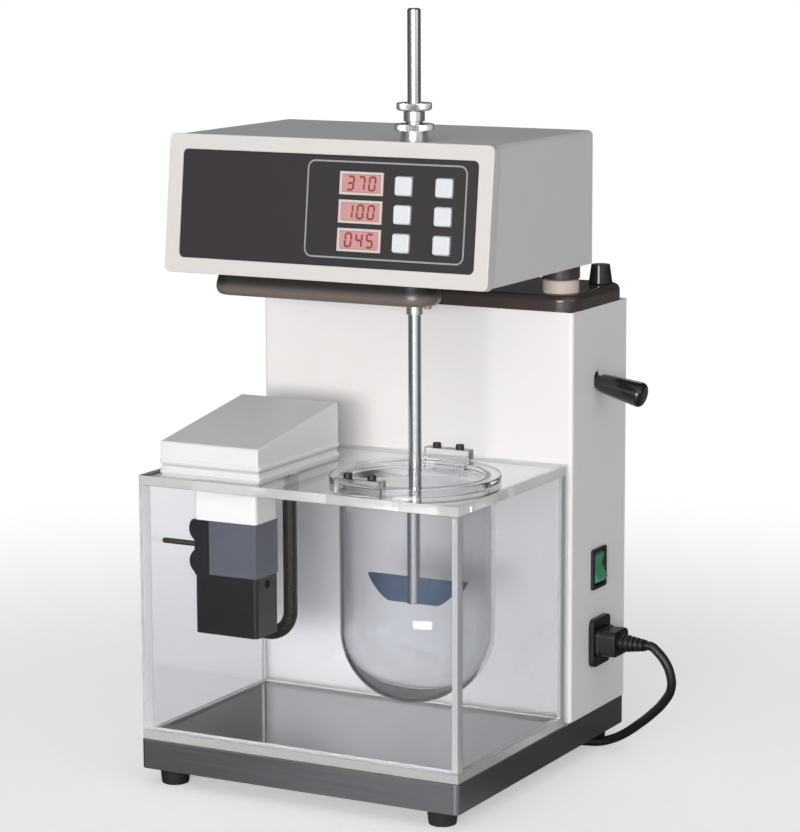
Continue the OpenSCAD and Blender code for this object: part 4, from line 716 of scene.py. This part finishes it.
# Thermostat
# A white moulded hood with a sloping top on a shallow tray, each with a rounded rim, and a grey seal between.
# The tray's square neck goes through the lid and carries the pump.
white_moulding = coating("white_moulding", (240, 238, 238), drift=0.015, patch=30, rough=0.38, spread=0.05,
                         grain=0.7, depth=0.012)
fit("thermostat_base", eased_copy("thermostat_tray", 0.5), "stand", white_moulding,
    "thermostat_tray")
rear_rise = 18.2
hood = block((-116, -130.5, 239.5), (-34, -13.5, 256))
bmesh.ops.translate(hood, vec=(0, 0, rear_rise), verts=[v for v in hood.verts if v.co.y > -20 and v.co.z > 250])
ease(hood, [e for e in hood.edges if min(v.co.z for v in e.verts) > 270], 4, 6)
ease(hood, [e for e in along(hood, 0) if max(v.co.y for v in e.verts) < -130 and e.verts[0].co.z > 250], 2, 4)
ease(hood, sharp_edges(hood, 0.7), 0.9, 3)
fit("thermostat_shell", hood, "stand", white_moulding, "thermostat_hood")
rims = []
for low, high in ((232, 236), (239.6, 243.6)):
    rim = block((-117.2, -131.7, low), (-32.8, -12.3, high))
    ease(rim, along(rim, 2), 3.5, 5)
    ease(rim, sharp_edges(rim, 1.0), 1.7, 4)
    flats = [f for f in rim.faces if abs(f.normal.z) > 0.99]
    bmesh.ops.inset_individual(rim, faces=flats, thickness=1.6, use_even_offset=True)
    bmesh.ops.delete(rim, geom=flats, context="FACES_ONLY")
    bmesh.ops.bridge_loops(rim, edges=[e for e in rim.edges if e.is_boundary])
    rims.append(rim)
fit("thermostat_rims", joined(*rims), "stand", white_moulding)
seal_grey = coating("seal_grey", (206, 203, 199), drift=0.08, patch=6, rough=0.6, grain=0.5, depth=0.02)
seal = block((-115.5, -130, 238.05), (-34.5, -14, 239.55))
ease(seal, along(seal, 2), 2.5, 5)
fit("thermostat_seal", seal, "stand", seal_grey)

# Pump
# A black moulded block with a wheel chamber below and a strip up its left side, a smoked cover over its
# motor, and a small wheel that draws the bath's water round.
pump_black = coating("pump_black", (20, 20, 24), drift=0.15, patch=20, rough=0.3, spread=0.06, grain=0.7,
                     depth=0.015)
fit("pump_block", eased_copy("pump_body", 0.5), "stand", pump_black, "pump_body")
smoked = coating("smoked", (98, 100, 110), drift=0.06, patch=15, rough=0.16, spread=0.04, grain=1.5, depth=0.005)
smoked.node_tree.nodes["Principled BSDF"].inputs["Alpha"].default_value = 0.8
fit("pump_smoked_cover", eased_copy("pump_window", 0.4), "stand", smoked, "pump_window")
motor_can = streaked("motor_can", (150, 150, 154), (20, 20, 600), rough=0.35, depth=0.01)
dress("pump_motor", motor_can)
dress("pump_impeller", coating("wheel_plastic", (216, 214, 208), drift=0.04, patch=6, rough=0.4, grain=0.5,
                               depth=0.01))

# Heater and probe
# The heater is a black-sheathed tube bent under the pump, and the probe is a thin metal rod from the
# pump's side towards the left wall.
sheath = coating("heater_sheath", (34, 31, 31), drift=0.2, patch=8, rough=0.16, spread=0.05, grain=0.5, depth=0.01)
fit("heater_rod", cad_copy("heater_tube"), "stand", sheath, "heater_tube", sharp=50)
probe_metal = streaked("probe_metal", (112, 96, 86), (500, 40, 40), rough=0.35, depth=0.01)
probe_low, probe_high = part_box("temperature_probe")
length = (probe_high.x - probe_low.x) * 1000
probe = turned([(0, 0), (1.2, 0.1), (1.8, 0.6), (2, 1.4), (2, length), (0, length)], 32)
turn_about(probe, 90, "Y")
shift(probe, (probe_low.x * 1000, -116, 180))
fit("probe_rod", probe, "stand", probe_metal, "temperature_probe")

# Vessel
# A round-bottomed vessel, blown in clear glass, with a ground flange. It hangs by the flange in the lid's hole
# and lifts out.
vessel_glass = clear("vessel_glass", (249, 250, 252), 1.5, 0.0, scuff=0.0, passes=0.965)
inner_r, outer_r, bowl_up = 51, 53.5, 122.7
bowl = [math.radians(a) for a in range(0, 91, 6)]
half = [(inner_r * math.sin(a), bowl_up - inner_r * math.cos(a)) for a in bowl]
half += [(inner_r, 180), (inner_r, 234.8), (51.5, 235.8), (52.5, 236.2), (61.2, 236.2), (61.8, 235.8), (62, 235.2),
         (62, 232.2), (61.8, 231.6), (61.2, 231.2), (54.6, 231.2), (53.9, 230.9), (outer_r, 230.2), (outer_r, 180)]
half += [(outer_r * math.sin(a), bowl_up - outer_r * math.cos(a)) for a in reversed(bowl)]
glass = turned(half, 96)
shaft_at = (58, -65, 0)
shift(glass, shaft_at)
fit("vessel_blown", glass, "vessel", vessel_glass, "vessel")

# Lift posts and bump collars
# Two ground steel posts, bolted under the head with stud and nut. Each has a dark collar that comes down on
# its bush.
ground_steel = streaked("ground_steel", (196, 198, 202), (30, 30, 900), rough=0.16, spread=0.06, depth=0.004)
posts = []
collars = []
for place in post_places:
    post = turned([(0, 100), (7.2, 100), (8, 100.8), (8, 376), (4, 376), (4, 387), (3.5, 387.5), (0, 387.5)], 48)
    nut = turned([(4.02, 379), (7.3, 379), (7.3, 385.5), (4.02, 385.5)], 6, closed=True)
    collar = turned([(8.1, 365.8), (13.3, 365.8), (14, 366.5), (14, 375.4), (13.5, 375.95), (8.1, 375.95)], 56,
                    closed=True)
    for piece in (post, nut, collar):
        shift(piece, place)
    posts += [post, nut]
    collars.append(collar)
fit("post_pair", joined(*posts), "head", ground_steel, "lift_posts")
fit("collar_pair", joined(*collars), "head", brown_gloss, "bump_collars")

# Head casing
# A cover folded from sheet steel and coated pale grey, on a zinc-plated floor plate that carries the drive and
# the controls.
grey_paint = coating("grey_paint", (228, 226, 224), drift=0.015, patch=50, rough=0.36, spread=0.05, grain=1.0,
                     depth=0.012)
fit("head_casing", eased_copy("head_cover", 0.35), "head", grey_paint, "head_cover")
dress("head_floor", sheet_zinc)

# Bezel
# A frame moulded in warm white plastic, with softly rounded edges. It fits round the head's front and stands a
# little proud of the casing.
bezel_plastic = coating("bezel_plastic", (222, 216, 212), drift=0.015, patch=30, rough=0.4, spread=0.05, grain=0.6,
                        depth=0.012)
fit("front_frame", eased_copy("head_bezel", 0.8, 3), "head", bezel_plastic, "head_bezel")

# Front panel
# A charcoal film on a plate that is fixed behind the bezel. A thin grey line is printed on it, round the
# displays and buttons.
head_high = 98
lean = math.radians(6.65)
front_face = Matrix.Translation((0, -97, 376)) @ Matrix.Rotation(-lean, 4, "X")
middle_up = head_high / math.cos(lean) / 2
panel_film = coating("panel_film", (42, 36, 40), drift=0.06, patch=18, rough=0.45, spread=0.05, grain=0.4,
                     depth=0.008)
fit("panel_plate", cad_copy("control_panel"), "head", panel_film, "control_panel")
print_grey = coating("print_grey", (158, 157, 155), drift=0.05, patch=6, rough=0.5, grain=0.3, depth=0.003)
line = bmesh.new()
bmesh.ops.create_grid(line, x_segments=1, y_segments=1, size=0.5)
bmesh.ops.scale(line, vec=(127.5, 69, 1), verts=line.verts)
bmesh.ops.bevel(line, geom=line.verts[:], offset=6, offset_type="OFFSET", affect="VERTICES", segments=6,
                profile=0.5, material=-1)
bmesh.ops.inset_individual(line, faces=line.faces[:], thickness=1.2, use_even_offset=True)
bmesh.ops.delete(line, geom=[f for f in line.faces if len(f.verts) > 4], context="FACES")
bmesh.ops.solidify(line, geom=line.faces[:], thickness=0.08)
turn_about(line, 90, "X")
shift(line, (47.25, 1.98, 50.4))
bmesh.ops.transform(line, matrix=front_face, verts=line.verts)
fit("panel_line", line, "head", print_grey)

# Displays
# Three moulded beige frames set in the panel. Each holds a pale red filter with three seven-bar figures.
rim_beige = coating("rim_beige", (212, 202, 193), drift=0.04, patch=8, rough=0.45, grain=0.5, depth=0.01)
fit("display_rims", eased_copy("display_frames", 0.35), "head", rim_beige, "display_frames")
filter_red = coating("filter_red", (205, 150, 150), drift=0.05, patch=4, rough=0.3, grain=0.6, depth=0.004)
dress("display_windows", filter_red)
figure_red = coating("figure_red", (150, 58, 62), drift=0.06, patch=3, rough=0.35, grain=0.4, depth=0.002)
bars = {"0": "abcdef", "1": "bc", "3": "abgcd", "4": "fgbc", "5": "afgcd", "7": "abc"}
bar_places = {"a": (0, 4.6, 0), "b": (2.3, 2.3, 1), "c": (2.3, -2.3, 1), "d": (0, -4.6, 0), "e": (-2.3, -2.3, 1),
              "f": (-2.3, 2.3, 1), "g": (0, 0, 0)}
figures_x, figure_pitch, figure_in, slant = 27.7, 8.6, 1.68, 0.1
figures = []
for row, text in ((20, "370"), (0, "100"), (-20, "045")):
    for column, figure in enumerate(text):
        for bar in bars[figure]:
            across, up, upright = bar_places[bar]
            wide, tall = (1.5, 4.2) if upright else (4.2, 1.5)
            lit = block((-wide / 2, -0.06, -tall / 2), (wide / 2, 0.06, tall / 2))
            ease(lit, along(lit, 1), 0.6, 2)
            from_left = figures_x + (column - 1) * figure_pitch + across + slant * up
            shift(lit, (from_left, figure_in, middle_up + row + up))
            figures.append(lit)
digits = joined(*figures)
bmesh.ops.transform(digits, matrix=front_face, verts=digits.verts)
fit("display_figures", digits, "head", figure_red)

# Buttons
# Six square keys moulded in white plastic, with rounded corners and edges. A lip keeps each one behind the
# panel, and it rides on its own dome switch.
key_white = coating("key_white", (226, 226, 230), drift=0.02, patch=8, rough=0.4, spread=0.04, grain=0.5,
                    depth=0.01)
number = 0
for across in (61.5, 93.5):
    for row in (19.5, -0.5, -20.5):
        number += 1
        key = block((-6.7, -0.2, -6.7), (6.7, 5.2, 6.7))
        ease(key, along(key, 1), 1.8, 5)
        ease(key, [e for e in sharp_edges(key, 1.0) if max(v.co.y for v in e.verts) < 0], 1.3, 4)
        lip = block((-7.7, 4.82, -7.7), (7.7, 5.38, 7.7))
        ease(lip, along(lip, 1), 1, 2)
        key = joined(key, lip)
        shift(key, (across, 0, middle_up + row))
        bmesh.ops.transform(key, matrix=front_face, verts=key.verts)
        fit(f"key_{number}", key, f"button_{number}", key_white, f"button_{number}")

# Inside the head
# The control board with its spacers, the stirring motor, and the turned housing with two ball bearings that
# carries the hollow spindle.
dress("control_board", coating("board_green", (48, 96, 66), drift=0.25, patch=4, rough=0.4, grain=0.8, depth=0.05))
dress("drive_motor", coating("motor_paint", (92, 96, 102), drift=0.1, patch=20, rough=0.4, grain=0.8, depth=0.02,
                             metal=0.4))
dress("spindle_housing", streaked("housing_alloy", (176, 178, 182), (20, 20, 500), rough=0.34, depth=0.01))
dress("spindle_bearings", streaked("bearing_steel", (188, 190, 194), (40, 40, 900), rough=0.2, depth=0.004))

# Drive housing and belt
# A brown moulded pan with a rounded side. Its upper part, where it draws in under the head, is darkened with
# painted shade. It is held by a bright screw, and hides the flat belt and its two turned pulleys.
pan_grey = coating("pan_grey", (116, 104, 98), drift=0.06, patch=20, rough=0.34, spread=0.05, grain=1.2,
                   depth=0.004, coat=0.2)
pan_tree = pan_grey.node_tree
pan_colour = pan_tree.nodes["Principled BSDF"].inputs["Base Color"]
height = pan_tree.nodes.new("ShaderNodeSeparateXYZ")
pan_tree.links.new(pan_tree.nodes["Texture Coordinate"].outputs["Object"], height.inputs["Vector"])
# Painted shade: above 362 mm the colour is mixed into a dark brown, for the shade where the pan draws in under the
# head.
darker = pan_tree.nodes.new("ShaderNodeMix")
darker.data_type = "RGBA"
darker.inputs["B"].default_value = tone(38, 32, 29)
pan_tree.links.new(ramp(pan_tree, height.outputs["Z"], 0.362, 0.369, smooth=True), darker.inputs["Factor"])
pan_tree.links.new(pan_colour.links[0].from_socket, darker.inputs["A"])
pan_tree.links.new(darker.outputs["Result"], pan_colour)
pan_low, pan_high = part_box("drive_housing")
pan_hole_r, pan_inner_r, bead_up, pan_steps = 7, 15.4, 363.6, 64
bead = [math.radians(a) for a in range(0, 91, 10)]
pan_skin = [(pan_hole_r, 358), (13.5, 358)]
pan_skin += [(14.6 + 4.2 * math.sin(a), bead_up - 5.6 * math.cos(a)) for a in bead]
pan_skin += [(17.7 + 1.1 * math.cos(a), bead_up + 3.6 * a) for a in (0.4, 0.8, 1.2, 1.6, 2.0, 2.4, 2.8, math.pi)]
pan_skin += [(16.6, 376), (pan_inner_r, 376), (pan_inner_r, 359.4), (pan_hole_r, 359.4)]
pan = turned(pan_skin, pan_steps, closed=True)
turn_about(pan, 180 / pan_steps, "Z")
bmesh.ops.translate(pan, vec=(42 - (pan_high.x - pan_low.x) * 1000, 0, 0),
                    verts=[v for v in pan.verts if v.co.x < 0 and v.co.xy.length > pan_hole_r + 0.5])
shift(pan, shaft_at)
fit("drive_pan", pan, "head", pan_grey, "drive_housing", sharp=40)
pan_screw = turned([(0, 358.2), (3, 358.2), (3, 356.6), (2.6, 355.9), (1.7, 355.6), (1.2, 355.6), (1.1, 356.4),
                    (0, 356.6)], 28)
shift(pan_screw, (69, -66, 0))
fit("pan_screw", pan_screw, "head", zinc)
dress("drive_belt", coating("belt_rubber", (30, 30, 31), drift=0.2, patch=3, rough=0.7, grain=0.5, depth=0.05))
pulley_alloy = streaked("pulley_alloy", (190, 192, 196), (30, 30, 700), rough=0.28, depth=0.006)
dress("spindle_pulley", pulley_alloy)
dress("motor_pulley", pulley_alloy)

# Spindle and chuck
# A hollow chromed shaft with a knurled disc on top. A knurled nut screws on above the disc and grips the rod.
chrome = streaked("chrome", (220, 219, 218), (50, 50, 1200), drift=0.04, rough=0.26, spread=0.04, depth=0.001)


def knurled(profile, rim, low, high):
    """A turned piece whose rim between two heights is rolled into fine ridges."""
    steps, hollow = 160, 0.972
    bm = turned(profile, steps, closed=True)
    hollows = [v for v in bm.verts if low < v.co.z < high and v.co.xy.length > rim
               and round(math.atan2(v.co.y, v.co.x) / math.radians(360 / steps)) % 2]
    bmesh.ops.scale(bm, vec=(hollow, hollow, 1), verts=hollows)
    shift(bm, shaft_at)
    return bm


shaft = knurled([(4.78, 351), (5.6, 351), (6, 351.4), (6, 471.5), (9.2, 471.5), (9.5, 471.8), (9.5, 481.6),
                 (13.2, 481.6), (13.8, 481.9), (14, 482.4), (14, 485.4), (13.8, 485.9), (13.2, 486.2),
                 (6, 486.2), (6, 493.3), (5.6, 493.7), (4.78, 493.7)], 13.9, 482, 487)
fit("spindle_shaft", shaft, "spindle", chrome, "spindle", sharp=30)
ring = knurled([(6.05, 488), (7.2, 488), (7.5, 488.3), (7.5, 494.9), (7.9, 495.4), (10.8, 495.5), (11.9, 496.1),
                (12.5, 497), (12.5, 500.3), (12.3, 500.7), (11.8, 500.9), (5.4, 500.9), (5.05, 500.6),
                (5.05, 494.5), (6.05, 494.5)], 12.4, 496.5, 500.5)
fit("chuck_ring", ring, "chuck_nut", chrome, "chuck_nut", sharp=30)

# Rod and paddle
# A polished stainless rod with a rounded top. Its slotted lower end holds the slate-coloured blade.
stainless = streaked("stainless", (206, 208, 212), (40, 40, 700), drift=0.05, rough=0.2, spread=0.05, depth=0.001)
fit("rod_bar", cad_copy("stirring_rod"), "stirrer", stainless, "stirring_rod", sharp=40)
blade_steel = streaked("blade_steel", (58, 80, 110), (120, 120, 900), drift=0.12, rough=0.4, depth=0.01, metal=0.4)
fit("paddle", eased_copy("paddle_blade", 0.6), "stirrer", blade_steel, "paddle_blade")
